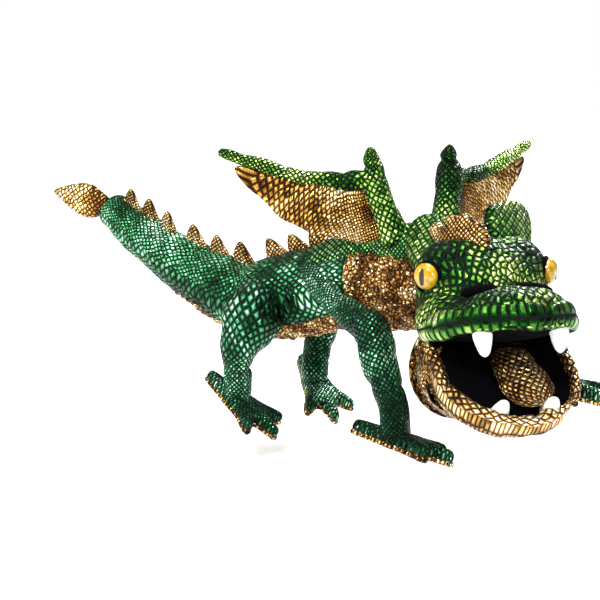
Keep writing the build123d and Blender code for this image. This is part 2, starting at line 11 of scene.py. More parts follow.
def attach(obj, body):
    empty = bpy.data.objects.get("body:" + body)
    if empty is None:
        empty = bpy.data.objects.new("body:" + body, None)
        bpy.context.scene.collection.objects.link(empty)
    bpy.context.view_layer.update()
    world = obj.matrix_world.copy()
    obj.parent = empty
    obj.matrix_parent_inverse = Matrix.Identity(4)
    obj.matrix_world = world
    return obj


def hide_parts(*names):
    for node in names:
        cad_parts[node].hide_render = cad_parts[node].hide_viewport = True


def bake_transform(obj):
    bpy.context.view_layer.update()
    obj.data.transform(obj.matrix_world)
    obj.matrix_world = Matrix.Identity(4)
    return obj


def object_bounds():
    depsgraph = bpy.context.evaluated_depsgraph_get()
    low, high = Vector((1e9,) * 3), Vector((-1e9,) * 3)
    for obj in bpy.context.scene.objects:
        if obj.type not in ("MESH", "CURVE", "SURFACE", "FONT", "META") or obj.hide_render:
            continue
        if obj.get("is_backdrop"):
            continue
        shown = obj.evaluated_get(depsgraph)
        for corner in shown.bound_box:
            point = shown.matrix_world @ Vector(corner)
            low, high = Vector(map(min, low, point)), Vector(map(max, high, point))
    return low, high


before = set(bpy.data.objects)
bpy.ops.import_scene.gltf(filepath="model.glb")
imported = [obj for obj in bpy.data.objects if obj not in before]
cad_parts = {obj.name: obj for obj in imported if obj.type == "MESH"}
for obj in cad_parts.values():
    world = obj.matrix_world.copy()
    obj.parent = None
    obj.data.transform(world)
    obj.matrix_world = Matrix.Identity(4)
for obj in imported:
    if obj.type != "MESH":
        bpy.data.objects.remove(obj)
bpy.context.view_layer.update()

bl_info = {
    "name": "Stuffed Dragon Glove Puppet",
    "version": (1, 0, 0),
    "blender": (4, 5, 0),
    "location": "View3D > Sidebar > Puppet",
    "description": "Foil-scaled plush skins, mouth, eyes and wings of a moving-mouth dragon puppet",
    "category": "Add Mesh",
}

MM = 0.001
UP = np.array([0.0, 0.0, 1.0])

# Frames shared with the design, in millimetres: jaw hinge, tilt of head and jaw, spine stations
HINGE = np.array([75.0, 0.0, 35.0])
HEAD_PITCH = 12.0
JAW_PITCH = -36.0
SNOUT_X = 4.0
JAW_X = 24.0
SPINE = [(8, 1, 80, 25), (-8, -4, 77, 27), (-34, -15, 71, 30), (-66, -32, 67, 35), (-97, -52, 63, 35),
         (-134, -76, 52, 37), (-170, -100, 42, 37), (-197, -122, 37, 33), (-228, -150, 50, 28),
         (-262, -179, 68, 23.5), (-295, -202, 88, 20), (-329, -227, 109, 15.5)]


# Settings ---------------------------------------------------------------------------------------


def linear(colour):
    """sRGB hex to linear RGBA."""
    values = [int(colour[i:i + 2], 16) / 255 for i in (1, 3, 5)]
    return tuple(v / 12.92 if v <= 0.04045 else ((v + 0.055) / 1.055) ** 2.4 for v in values) + (1.0,)


def measure(label, text, size_mm):
    """Length property with its default in millimetres."""
    return FloatProperty(name=label, description=text, default=size_mm * MM, min=0.0, precision=4,
                         unit="LENGTH")


def hue(label, text, colour):
    """Colour property with its default in sRGB hex."""
    return FloatVectorProperty(name=label, description=text, default=linear(colour), size=4, min=0.0,
                               max=1.0, subtype="COLOR")


class PuppetCloths(bpy.types.PropertyGroup):
    """Colours of the cloths and hard trims."""

    green: hue("Green foil", "Middle tone of the green scales", "#2a601c")
    leg: hue("Leg foil", "Middle tone of the scales on legs and straps", "#1a5a36")
    tail: hue("Tail foil", "Middle tone of the scales on trunk and tail", "#216c3a")
    gold: hue("Gold foil", "Middle tone of the gold scales", "#9c6b24")
    lining: hue("Lining", "Lightest tone of the knitted mouth and sleeve lining", "#06060a")
    felt: hue("Tooth felt", "Colour of the wool felt teeth", "#ffffff")
    eye: hue("Eyes", "Colour of the acrylic eyes", "#c9a016")
    washer: hue("Washers", "Colour of the nylon washers behind the eyes", "#e8e8e4")


class PuppetBody(bpy.types.PropertyGroup):
    """Sizes of neck, trunk, tail, spikes and limbs."""

    back_spikes: IntProperty(name="Back spikes", description="Padded spikes on the trunk", default=7, min=2)
    tail_spikes: IntProperty(name="Tail spikes", description="Padded spikes on each half of the tail",
                             default=3, min=2)
    spike_height: measure("Spike height", "Height of the tallest spike over the back", 17.0)
    spike_thick: measure("Spike thickness", "Thickness of a spike at its middle", 6.5)
    spike_spread: FloatProperty(name="Spike spread", description="How much spike sizes differ by chance",
                                default=0.06, min=0.0, max=0.5, subtype="FACTOR")
    leaf_thick: measure("Tail leaf thickness", "Thickness of the padded leaf at the end of the tail", 13.0)
    foot_thick: measure("Foot thickness", "Thickness of a padded foot", 13.0)
    wing_thick: measure("Wing thickness", "Thickness of the padded wing membrane", 5.0)
    strap: FloatProperty(name="Strap girth", description="Girth of the shoulder straps", default=1.0,
                         min=0.5, max=1.5, subtype="FACTOR")


class PuppetHead(bpy.types.PropertyGroup):
    """Sizes of head, mouth and glove."""

    upper_lip: measure("Upper lip", "Half thickness of the padded upper lip", 7.0)
    lower_lip: measure("Lower lip", "Half thickness of the rolled lower lip", 4.4)
    crest_thick: measure("Crest thickness", "Thickness of the padded crest", 10.0)
    ear_thick: measure("Ear thickness", "Thickness of the padded ears", 12.0)
    eye_ring: measure("Eye ring", "Radius of the cloth ring round an eye", 11.2)
    tooth: measure("Tooth", "Half width of a felt tooth at its base", 7.4)
    tongue: measure("Tongue", "Half width of the tongue at its middle", 20.0)
    cuff: measure("Cuff", "Radius of the cuff at its binding", 41.4)
    stitches: IntProperty(name="Cuff stitches", description="Whip stitches round the cuff binding",
                          default=72, min=8)


class PuppetStage(bpy.types.PropertyGroup):
    """Floor, lamps and camera."""

    floor_gap: measure("Floor gap", "Height of the lowest foot over the floor", 30.0)
    floor: hue("Floor", "Colour of the floor", "#f4f4f4")
    soft_light: FloatProperty(name="Soft light", description="Strength of the light from all round",
                              default=0.36, min=0.0)
    lens: FloatProperty(name="Lens", description="Focal length of the camera in millimetres", default=96.0,
                        min=10.0, subtype="DISTANCE_CAMERA")
    azimuth: FloatProperty(name="Azimuth", description="Direction the camera looks from",
                           default=math.radians(74), subtype="ANGLE")
    elevation: FloatProperty(name="Elevation", description="Height the camera looks from",
                             default=math.radians(9), subtype="ANGLE")


# Small mathematics ------------------------------------------------------------------------------


def unit(vectors):
    """Vectors made one long."""
    vectors = np.asarray(vectors, float)
    return vectors / np.maximum(np.linalg.norm(vectors, axis=-1, keepdims=True), 1e-9)


def tipped(pitch):
    """Rows: forward, left and up of a frame tipped up by pitch at the hinge."""
    tip = math.radians(pitch)
    return np.array([[math.cos(tip), 0, math.sin(tip)], [0, 1, 0], [-math.sin(tip), 0, math.cos(tip)]])


HEAD = tipped(HEAD_PITCH)
JAW = tipped(JAW_PITCH)


def placed(points, rows):
    """Points of a tipped frame in the puppet's own frame."""
    return HINGE + np.asarray(points, float) @ rows


def eased(value, low, high):
    """Smooth step from 0 at low to 1 at high."""
    t = np.clip((value - low) / (high - low), 0, 1)
    return t * t * (3 - 2 * t)


def lumps(points, size, seed):
    """Soft lumpiness between -1 and 1 with features about size mm across."""
    rng = np.random.default_rng(seed)
    total = np.zeros(points.shape[:-1])
    for _ in range(9):
        way = unit(rng.normal(size=3)) * (2 * math.pi / size) * rng.uniform(0.7, 1.4)
        total += np.sin(points @ way + rng.uniform(0, 2 * math.pi))
    return total / 4.5


def curve_through(stations, start, end, count):
    """Catmull-Rom samples of the stations between two station numbers."""
    table = np.array(stations, float)
    table = np.vstack([2 * table[0] - table[1], table, 2 * table[-1] - table[-2]])
    place = np.linspace(start, end, count)
    index = np.clip(place.astype(int), 0, len(stations) - 2)
    t = (place - index)[:, None]
    p0, p1, p2, p3 = (table[index + k] for k in range(4))
    return 0.5 * (2 * p1 + (p2 - p0) * t + (2 * p0 - 5 * p1 + 4 * p2 - p3) * t ** 2
                  + (3 * p1 - p0 - 3 * p2 + p3) * t ** 3)


def normals_of(points):
    """Unit normals of a grid of points."""
    across = np.gradient(points, axis=1)
    along = np.gradient(points, axis=0)
    return unit(np.cross(across, along))


# Meshes -----------------------------------------------------------------------------------------


def grid_piece(name, points, scale_uv=None, closed=False, material=None):
    """Quad mesh of a grid in mm, with a map that counts printed scales."""
    rows, columns = points.shape[:2]
    if scale_uv is None:
        scale_uv = np.zeros((rows, columns + closed, 2))
    corners = np.arange(rows * columns).reshape(rows, columns)
    right = np.roll(corners, -1, axis=1) if closed else corners[:, 1:]
    left = corners if closed else corners[:, :-1]
    quads = np.stack([left[:-1], right[:-1], right[1:], left[1:]], axis=-1).reshape(-1, 4)
    mesh = bpy.data.meshes.new(name)
    mesh.from_pydata((points.reshape(-1, 3) * MM).tolist(), [], quads.tolist())
    uv = mesh.uv_layers.new(name="scales")
    one, two = scale_uv[:-1], scale_uv[1:]
    loops = np.stack([one[:, :-1], one[:, 1:], two[:, 1:], two[:, :-1]], axis=2)
    uv.data.foreach_set("uv", loops.reshape(-1).astype(np.float32))
    return finished(name, mesh, material)


def finished(name, mesh, material, merge=1e-6):
    """Merge doubles, turn faces outward, shade smooth and give the cloth."""
    work = bmesh.new()
    work.from_mesh(mesh)
    bmesh.ops.remove_doubles(work, verts=work.verts, dist=merge)
    bmesh.ops.recalc_face_normals(work, faces=work.faces)
    work.to_mesh(mesh)
    work.free()
    mesh.polygons.foreach_set("use_smooth", [True] * len(mesh.polygons))
    piece = bpy.data.objects.new(name, mesh)
    bpy.context.scene.collection.objects.link(piece)
    if material:
        mesh.materials.append(material)
    return piece


def frames_along(centres, reference):
    """Forward, right and up of a section at each centre."""
    forward = unit(np.gradient(centres, axis=0))
    right = unit(np.cross(reference, forward))
    return forward, right, np.cross(forward, right)


def stuffed_tube(name, stations, material, start=0.0, end=None, angles=(0, 360), around=56, along=80,
                 round_start=0.0, round_end=0.0, reference=UP, cells=30, aspect=1.0, flatten=1.0,
                 density=None, shape=None):
    """Stuffed tube or sewn strip of one: circles along stations of (x, y, z, radius)."""
    end = len(stations) - 1 if end is None else end
    samples = curve_through(stations, start, end, along)
    centres, radii = samples[:, :3], samples[:, 3].copy()
    steps = np.linalg.norm(np.diff(centres, axis=0), axis=1)
    length = np.concatenate([[0], np.cumsum(steps)])
    if round_start:
        radii *= np.sqrt(np.clip(1 - (1 - np.clip(length / round_start, 0, 1)) ** 2, 0, 1))
    if round_end:
        back = length[-1] - length
        radii *= np.sqrt(np.clip(1 - (1 - np.clip(back / round_end, 0, 1)) ** 2, 0, 1))
    _, right, up = frames_along(centres, reference)
    closed = angles[1] - angles[0] >= 360
    turn = np.radians(np.linspace(angles[0], angles[1], around + closed))
    weight = np.ones_like(turn) if density is None else density(np.degrees(turn))
    grow = np.concatenate([[0], np.cumsum((weight[1:] + weight[:-1]) / 2)])
    share = (angles[1] - angles[0]) / 360
    u = grow / grow[-1] * round(cells * share)
    pitch = 2 * math.pi * np.maximum(samples[:, 3], 6) / cells * aspect
    v = np.concatenate([[0], np.cumsum(steps / ((pitch[1:] + pitch[:-1]) / 2))])
    if closed:
        turn = turn[:-1]
    ring = (np.cos(turn)[None, :, None] * right[:, None, :]
            + flatten * np.sin(turn)[None, :, None] * up[:, None, :])
    points = centres[:, None, :] + radii[:, None, None] * ring
    if shape:
        points = shape(points, np.degrees(turn), length, centres)
    uv = np.stack(np.broadcast_arrays(u[None, :], v[:, None]), axis=-1)
    return grid_piece(name, points, uv, closed, material)


def pad_from_outline(name, outline, origin, across, upward, thick, material, cell=6.0, edge=5.0,
                     spacing=2.5, warp=None):
    """Padded shape sewn round an outline in a plane: two faces that swell away from the seam."""
    outline = np.array(outline, float)
    across, upward = unit(across), unit(upward)
    normal = unit(np.cross(across, upward))
    upward = np.cross(normal, across)
    low, high = outline.min(axis=0), outline.max(axis=0)
    xs = np.arange(low[0] - spacing, high[0] + 2 * spacing, spacing)
    ys = np.arange(low[1] - spacing, high[1] + 2 * spacing, spacing)
    spots = np.stack(np.meshgrid(xs, ys), axis=-1)
    away, nearest = outline_distance(spots.reshape(-1, 2), outline)
    away = away.reshape(spots.shape[:2])
    nearest = nearest.reshape(spots.shape)
    near = away > -1.0 * spacing
    flat = np.where((away < 0)[..., None], nearest, spots)
    depth = np.clip(away, 0, None)
    swell = thick / 2 * np.sqrt(np.clip(1 - (1 - np.clip(depth / edge, 0, 1)) ** 2, 0, 1))
    swell *= 1 + 0.25 * eased(depth, edge, 3 * edge)
    scales = warp(flat) if warp else flat / cell
    verts, faces, uvs = [], [], []
    for side in (1, -1):
        base = len(verts)
        index = -np.ones(near.shape, int)
        for j, i in np.argwhere(near):
            index[j, i] = len(verts)
            x, y = flat[j, i]
            spot = origin + across * x + upward * y + normal * side * swell[j, i]
            verts.append(spot * MM)
            uvs.append(tuple(scales[j, i]))
        for j in range(near.shape[0] - 1):
            for i in range(near.shape[1] - 1):
                quad = [index[j, i], index[j, i + 1], index[j + 1, i + 1], index[j + 1, i]]
                if min(quad) >= base and max(away[j:j + 2, i:i + 2].ravel()) > 0:
                    faces.append(quad if side > 0 else quad[::-1])
    mesh = bpy.data.meshes.new(name)
    mesh.from_pydata([tuple(v) for v in verts], [], faces)
    layer = mesh.uv_layers.new(name="scales")
    for loop in mesh.loops:
        layer.data[loop.index].uv = uvs[loop.vertex_index]
    return finished(name, mesh, material, merge=0.00012)


def outline_distance(spots, outline):
    """Signed distance in from a closed outline, and the nearest point on it."""
    best = np.full(len(spots), 1e9)
    nearest = np.zeros_like(spots)
    inside = np.zeros(len(spots), bool)
    for a, b in zip(outline, np.roll(outline, -1, axis=0)):
        edge = b - a
        t = np.clip(((spots - a) @ edge) / max(edge @ edge, 1e-9), 0, 1)
        foot = a + t[:, None] * edge
        gap = np.linalg.norm(spots - foot, axis=1)
        closer = gap < best
        best[closer] = gap[closer]
        nearest[closer] = foot[closer]
        crosses = (a[1] > spots[:, 1]) != (b[1] > spots[:, 1])
        slope = (spots[:, 1] - a[1]) / (edge[1] if edge[1] else 1e-9)
        inside ^= crosses & (spots[:, 0] < a[0] + slope * edge[0])
    return np.where(inside, best, -best), nearest


def rounded(outline, passes=2):
    """Outline with its corners cut smooth."""
    points = np.array(outline, float)
    for _ in range(passes):
        after = np.roll(points, -1, axis=0)
        points = np.stack([0.75 * points + 0.25 * after, 0.25 * points + 0.75 * after], axis=1)
        points = points.reshape(-1, 2)
    return points


def solid_copy(piece):
    """Plain mesh of a piece as its modifiers leave it."""
    graph = bpy.context.evaluated_depsgraph_get()
    return bpy.data.meshes.new_from_object(piece.evaluated_get(graph), preserve_all_data_layers=True,
                                           depsgraph=graph)


def corners_of(mesh):
    """Corner places of a mesh, as rows."""
    places = np.zeros(len(mesh.vertices) * 3)
    mesh.vertices.foreach_get("co", places)
    return places.reshape(-1, 3)


FILLING_STEPS = 20  # frames the cloth is given to swell


def filled(piece, voxel_mm=4.5, reach_mm=2.5, pressure=4.0):
    """Blow a padded piece up as cloth under its filling, and carry the shape to its fine mesh.

    The cloth works on a coarse even copy, so the printed scales keep their own map.
    """
    scene = bpy.context.scene
    trial = bpy.data.objects.new("filling_trial", piece.data.copy())
    scene.collection.objects.link(trial)
    even = trial.modifiers.new("even", "REMESH")
    even.mode = "VOXEL"
    even.voxel_size = voxel_mm * MM
    even_mesh = solid_copy(trial)
    trial.modifiers.clear()
    trial.data = even_mesh
    rest = corners_of(even_mesh)
    cloth = trial.modifiers.new("filling", "CLOTH")
    cloth.settings.quality = 5
    cloth.settings.mass = 0.3
    cloth.settings.use_pressure = True
    cloth.settings.uniform_pressure_force = pressure
    cloth.settings.effector_weights.gravity = 0.0
    cloth.point_cache.frame_start = 1
    cloth.point_cache.frame_end = FILLING_STEPS
    for step in range(1, FILLING_STEPS + 1):
        scene.frame_set(step)
    swollen = solid_copy(trial)
    shift = corners_of(swollen) - rest
    long = np.linalg.norm(shift, axis=1, keepdims=True)
    shift *= np.minimum(1.0, reach_mm * MM / np.maximum(long, 1e-9))
    tree = KDTree(len(rest))
    for index, place in enumerate(rest):
        tree.insert(place, index)
    tree.balance()
    fine = corners_of(piece.data)
    for index, place in enumerate(fine):
        near = tree.find_n(place, 5)
        weights = np.array([1 / (gap + 0.0005) for _, _, gap in near])
        carried = shift[[spot for _, spot, _ in near]] * weights[:, None]
        fine[index] = place + carried.sum(axis=0) / weights.sum()
    piece.data.vertices.foreach_set("co", fine.ravel())
    piece.data.update()
    bpy.data.objects.remove(trial)
    for spare in (even_mesh, swollen):
        bpy.data.meshes.remove(spare)
    scene.frame_set(1)
    return piece


def repeat_tree():
    """Geometry Nodes: one item set along a ridge, upright on it, sized by a factor and by chance."""
    tree = bpy.data.node_groups.new("items_along_ridge", "GeometryNodeTree")
    for label, kind in (("Ridge", "NodeSocketGeometry"), ("Item", "NodeSocketObject"),
                        ("Count", "NodeSocketInt"), ("Spread", "NodeSocketFloat"),
                        ("Seed", "NodeSocketInt"), ("Cloth", "NodeSocketMaterial")):
        tree.interface.new_socket(label, in_out="INPUT", socket_type=kind)
    tree.interface.new_socket("Row", in_out="OUTPUT", socket_type="NodeSocketGeometry")
    given = add(tree, "NodeGroupInput").outputs
    ridge = add(tree, "GeometryNodeMeshToCurve", inputs={"Mesh": given["Ridge"]})
    spots = add(tree, "GeometryNodeResampleCurve", inputs={"Curve": ridge.outputs[0],
                                                           "Count": given["Count"]})
    item = add(tree, "GeometryNodeObjectInfo", {"transform_space": "ORIGINAL"}, {"Object": given["Item"]})
    along = add(tree, "GeometryNodeInputTangent")
    upward = add(tree, "GeometryNodeInputNamedAttribute", {"data_type": "FLOAT_VECTOR"}, {"Name": "upward"})
    stout = add(tree, "GeometryNodeInputNamedAttribute", {"data_type": "FLOAT"}, {"Name": "stout"})
    turn = add(tree, "FunctionNodeAxesToRotation", {"primary_axis": "X", "secondary_axis": "Z"},
               {"Primary Axis": along.outputs[0], "Secondary Axis": upward.outputs[0]})
    low = add(tree, "ShaderNodeMath", {"operation": "SUBTRACT"}, {0: 1.0, 1: given["Spread"]})
    high = add(tree, "ShaderNodeMath", {"operation": "ADD"}, {0: 1.0, 1: given["Spread"]})
    chance = add(tree, "FunctionNodeRandomValue", {"data_type": "FLOAT"},
                 {2: low.outputs[0], 3: high.outputs[0], "Seed": given["Seed"]})
    size = add(tree, "ShaderNodeMath", {"operation": "MULTIPLY"}, {0: stout.outputs[0], 1: chance.outputs[1]})
    row = add(tree, "GeometryNodeInstanceOnPoints",
              inputs={"Points": spots.outputs[0], "Instance": item.outputs["Geometry"],
                      "Rotation": turn.outputs[0], "Scale": size.outputs[0]})
    real = add(tree, "GeometryNodeRealizeInstances", inputs={0: row.outputs[0]})
    dressed = add(tree, "GeometryNodeSetMaterial", inputs={"Geometry": real.outputs[0],
                                                           "Material": given["Cloth"]})
    add(tree, "NodeGroupOutput", inputs={"Row": dressed.outputs[0]})
    return tree


def repeated(name, item, ridge, upward, stout, count, spread, seed, material):
    """Row of copies of an item along a ridge in mm, as one plain mesh; the item is used up."""
    path = bpy.data.meshes.new(f"{name}_ridge")
    spots = (np.asarray(ridge) * MM).tolist()
    path.from_pydata(spots, [(i, i + 1) for i in range(len(spots) - 1)], [])
    path.attributes.new("upward", "FLOAT_VECTOR", "POINT").data.foreach_set(
        "vector", np.ascontiguousarray(upward, np.float32).ravel())
    path.attributes.new("stout", "FLOAT", "POINT").data.foreach_set(
        "value", np.ascontiguousarray(stout, np.float32))
    host = bpy.data.objects.new(f"{name}_host", path)
    bpy.context.scene.collection.objects.link(host)
    tree = bpy.data.node_groups.get("items_along_ridge") or repeat_tree()
    row = host.modifiers.new("row", "NODES")
    row.node_group = tree
    sockets = {socket.name: socket.identifier for socket in tree.interface.items_tree
               if socket.in_out == "INPUT"}
    for label, value in (("Item", item), ("Count", count), ("Spread", spread), ("Seed", seed),
                         ("Cloth", material)):
        row[sockets[label]] = value
    mesh = solid_copy(host)
    host.modifiers.clear()
    bpy.data.objects.remove(host)
    bpy.data.objects.remove(item)
    return finished(name, mesh, None)


def sewn_on(piece, body, finish, fill, *plain_nodes):
    """Let a padded piece move with a body and stand for its plain nodes; the finish is not used."""
    if body:
        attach(piece, body)
    if plain_nodes:
        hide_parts(*plain_nodes)


# Materials --------------------------------------------------------------------------------------


def add(tree, kind, settings=None, inputs=None):
    """Add one node with its settings; inputs are values, or sockets to link."""
    node = tree.nodes.new(kind)
    for key, value in (settings or {}).items():
        setattr(node, key, value)
    for key, value in (inputs or {}).items():
        if isinstance(value, bpy.types.NodeSocket):
            tree.links.new(value, node.inputs[key])
        else:
            node.inputs[key].default_value = value
    return node


def new_material(name):
    """Empty node material with its output and shader."""
    material = bpy.data.materials.new(name)
    material.use_nodes = True
    tree = material.node_tree
    tree.nodes.clear()
    shader = add(tree, "ShaderNodeBsdfPrincipled")
    add(tree, "ShaderNodeOutputMaterial", inputs={"Surface": shader.outputs[0]})
    return material, tree, shader


def colour_ramp(tree, factor, stops):
    """Colour ramp from hex stops at even spacing, or at given places."""
    node = add(tree, "ShaderNodeValToRGB", inputs={0: factor})
    ramp = node.color_ramp
    places = [stop[0] for stop in stops]
    while len(ramp.elements) < len(stops):
        ramp.elements.new(0.5)
    for element, place, (_, colour) in zip(ramp.elements, places, stops):
        element.position = place
        element.color = linear(colour) if isinstance(colour, str) else tuple(colour)
    return node.outputs[0]


CLOUDS_PER_METRE = 60.0
SPECKS_PER_METRE = 240.0
PILE_PER_METRE = 1500.0


def foil_plush(name, shade_to_glint_foils, ground, on_surface=True, cell_mm=6.5, scatter=0.5, lane=0.05, staggered=True,
               drift=0.5, drift_mm=60.0, sparkle=0.9, gloss=(0.2, 0.42)):
    """Foil-printed plush: metallic scales heat-pressed on short dark pile.

    Each scale is its own domed fleck that darkens to its rim and catches the light by itself,
    between matt lanes of dark pile. The darkening to the rim is painted shade and the bright middle is a
    painted highlight.
    """
    material, tree, shader = new_material(name)
    if on_surface:
        place = add(tree, "ShaderNodeUVMap", {"uv_map": "scales"}).outputs[0]
        turn = (0, 0, math.radians(45) if staggered else 0)
        scale = (math.sqrt(2) if staggered else 1.0,) * 3
    else:
        place = add(tree, "ShaderNodeTexCoord").outputs["Object"]
        turn = (0.3, 0.5, 0.2)
        scale = (1 / (cell_mm * MM),) * 3
    spot = add(tree, "ShaderNodeMapping", inputs={0: place, 2: turn, 3: scale}).outputs[0]
    flat = "2D" if on_surface else "3D"
    cell = add(tree, "ShaderNodeTexVoronoi", {"voronoi_dimensions": flat, "feature": "F1"},
               {"Vector": spot, "Scale": 1.0, "Randomness": scatter})
    rim = add(tree, "ShaderNodeTexVoronoi", {"voronoi_dimensions": flat, "feature": "DISTANCE_TO_EDGE"},
              {"Vector": spot, "Scale": 1.0, "Randomness": scatter})
    # Foil inside each scale, dark pile in the lanes and at the corners between scales
    edge = add(tree, "ShaderNodeMapRange", {"interpolation_type": "SMOOTHSTEP"},
               {0: rim.outputs["Distance"], 1: lane, 2: lane + 0.06})
    corner = add(tree, "ShaderNodeMapRange", {"interpolation_type": "SMOOTHSTEP"},
                 {0: cell.outputs["Distance"], 1: 0.68 + 0.3 * scatter + (0 if staggered else 0.3),
                  2: 0.56 + 0.2 * scatter + (0 if staggered else 0.3)})
    mask = add(tree, "ShaderNodeMath", {"operation": "MULTIPLY"}, {0: edge.outputs[0], 1: corner.outputs[0]})
    mask = mask.outputs[0]
    # Colour from painted shade at the rim to a painted highlight in the middle: by the dome of the scale, by
    # wide drifts over the body that are partly the foil's own tone and partly painted broad reflection, and
    # by chance
    chance = add(tree, "ShaderNodeSeparateColor", inputs={0: cell.outputs["Color"]})
    body = add(tree, "ShaderNodeTexCoord").outputs["Object"]
    cloud = add(tree, "ShaderNodeTexNoise", inputs={"Vector": body, "Scale": 1000 / drift_mm, "Detail": 2.0})
    dome_and_painted_shade = add(tree, "ShaderNodeMapRange", {"interpolation_type": "SMOOTHSTEP"},
               {0: rim.outputs["Distance"], 1: lane, 2: lane + 0.3})
    wide = add(tree, "ShaderNodeMapRange",
               inputs={0: cloud.outputs[0], 1: 0.35, 2: 0.65, 3: -drift, 4: drift})
    pick = add(tree, "ShaderNodeMath", {"operation": "MULTIPLY_ADD"}, {0: dome_and_painted_shade.outputs[0], 1: 0.42, 2: 0.12})
    pick = add(tree, "ShaderNodeMath", {"operation": "ADD"}, {0: pick.outputs[0], 1: wide.outputs[0]})
    pick = add(tree, "ShaderNodeMath", {"operation": "MULTIPLY_ADD"},
               {0: chance.outputs[0], 1: 0.3, 2: pick.outputs[0]})
    foil = colour_ramp(tree, pick.outputs[0], shade_to_glint_foils)
    shade = add(tree, "ShaderNodeMix", {"data_type": "RGBA"},
                {"Factor": mask, "A": linear(ground), "B": foil})
    tree.links.new(shade.outputs["Result"], shader.inputs["Base Color"])
    tree.links.new(mask, shader.inputs["Metallic"])
    rough = add(tree, "ShaderNodeMapRange", inputs={0: chance.outputs[1], 3: gloss[0], 4: gloss[1]})
    rough = add(tree, "ShaderNodeMix", {"data_type": "FLOAT"},
                {"Factor": mask, "A": 0.85, "B": rough.outputs[0]})
    tree.links.new(rough.outputs[0], shader.inputs["Roughness"])
    # Relief: each scale domed and leaning its own way, over the fine pile
    offset = add(tree, "ShaderNodeVectorMath", {"operation": "SUBTRACT"},
                 {0: spot, 1: cell.outputs["Position"]})
    lean = add(tree, "ShaderNodeVectorMath", {"operation": "SUBTRACT"},
               {0: cell.outputs["Color"], 1: (0.5, 0.5, 0.5)})
    slope = add(tree, "ShaderNodeVectorMath", {"operation": "DOT_PRODUCT"},
                {0: offset.outputs[0], 1: lean.outputs[0]})
    height = add(tree, "ShaderNodeMath", {"operation": "MULTIPLY_ADD"},
                 {0: slope.outputs["Value"], 1: sparkle, 2: dome_and_painted_shade.outputs[0]})
    pile = add(tree, "ShaderNodeTexNoise", inputs={"Vector": body, "Scale": PILE_PER_METRE, "Detail": 2.0})
    height = add(tree, "ShaderNodeMath", {"operation": "MULTIPLY_ADD"},
                 {0: pile.outputs[0], 1: 0.15, 2: height.outputs[0]})
    bump = add(tree, "ShaderNodeBump", inputs={"Strength": 0.9, "Distance": 0.0009,
                                               "Height": height.outputs[0]})
    tree.links.new(bump.outputs[0], shader.inputs["Normal"])
    shader.inputs["Specular IOR Level"].default_value = 0.15
    return material


def knit(name, colour, light, thread_mm=0.9):
    """Brushed or pressed cloth: fine fuzz in soft cloudy patches, with almost no shine."""
    material, tree, shader = new_material(name)
    place = add(tree, "ShaderNodeTexCoord").outputs["Object"]
    fuzz = add(tree, "ShaderNodeTexNoise", inputs={"Vector": place, "Scale": 1 / (thread_mm * MM),
                                                   "Detail": 3.0})
    cloud = add(tree, "ShaderNodeTexNoise", inputs={"Vector": place, "Scale": CLOUDS_PER_METRE,
                                                    "Detail": 2.0})
    mix = add(tree, "ShaderNodeMath", {"operation": "MULTIPLY"}, {0: fuzz.outputs[0], 1: cloud.outputs[0]})
    shade = colour_ramp(tree, mix.outputs[0], [(0.1, colour), (0.5, light)])
    tree.links.new(shade, shader.inputs["Base Color"])
    shader.inputs["Roughness"].default_value = 0.95
    shader.inputs["Specular IOR Level"].default_value = 0.04
    bump = add(tree, "ShaderNodeBump", inputs={"Strength": 0.5, "Distance": 0.0006,
                                               "Height": fuzz.outputs[0]})
    tree.links.new(bump.outputs[0], shader.inputs["Normal"])
    return material


def gloss(name, colour, dark, rough=0.12, coat=0.5):
    """Moulded plastic: even colour with faint specks, under a clear gloss."""
    material, tree, shader = new_material(name)
    place = add(tree, "ShaderNodeTexCoord").outputs["Object"]
    cloud = add(tree, "ShaderNodeTexNoise", inputs={"Vector": place, "Scale": SPECKS_PER_METRE,
                                                    "Detail": 3.0})
    shade = colour_ramp(tree, cloud.outputs[0], [(0.3, dark), (0.7, colour)])
    tree.links.new(shade, shader.inputs["Base Color"])
    shader.inputs["Roughness"].default_value = rough
    shader.inputs["Coat Weight"].default_value = coat
    shader.inputs["Coat Roughness"].default_value = 0.03
    return material


# Foil colours from the dark rim of a scale to the glint in its middle: the dark rim is painted shade, the
# middle is the foil's own tone and the glint is a painted highlight
GREEN_PAINTED_LIGHT_FOILS = [(0.0, "#020d04"), (0.32, "#0c300f"), (0.56, "#2a601c"), (0.8, "#84aa42"), (1.0, "#eaf2a4")]
LEG_PAINTED_LIGHT_FOILS = [(0.0, "#020d06"), (0.34, "#082c19"), (0.6, "#1a5a36"), (0.84, "#5ca078"), (1.0, "#d0f0da")]
TAIL_PAINTED_LIGHT_FOILS = [(0.0, "#02120a"), (0.32, "#0c3a1f"), (0.56, "#216c3a"), (0.8, "#68b684"), (1.0, "#d4f8e2")]
NECK_PAINTED_LIGHT_FOILS = [(0.0, "#021407"), (0.32, "#0c4419"), (0.54, "#2f8232"), (0.76, "#93c86c"), (1.0, "#eefbd8")]
LIP_PAINTED_LIGHT_FOILS = [(0.0, "#041a06"), (0.3, "#134412"), (0.54, "#44762c"), (0.78, "#a0bc68"), (1.0, "#ecf8c2")]
GOLD_PAINTED_LIGHT_FOILS = [(0.0, "#1c0d04"), (0.3, "#55320f"), (0.52, "#9c6b24"), (0.75, "#d8aa56"), (1.0, "#ffefc8")]
PALE_PAINTED_LIGHT_FOILS = [(0.0, "#241205"), (0.25, "#75491a"), (0.5, "#c89852"), (0.75, "#f0d4a0"), (1.0, "#fffaf0")]
FINE_PAINTED_LIGHT_FOILS = [(0.0, "#35200e"), (0.3, "#75491d"), (0.52, "#ab7a3c"), (0.75, "#e2bd78"), (1.0, "#fff4d8")]
GREEN_GROUND = "#020503"
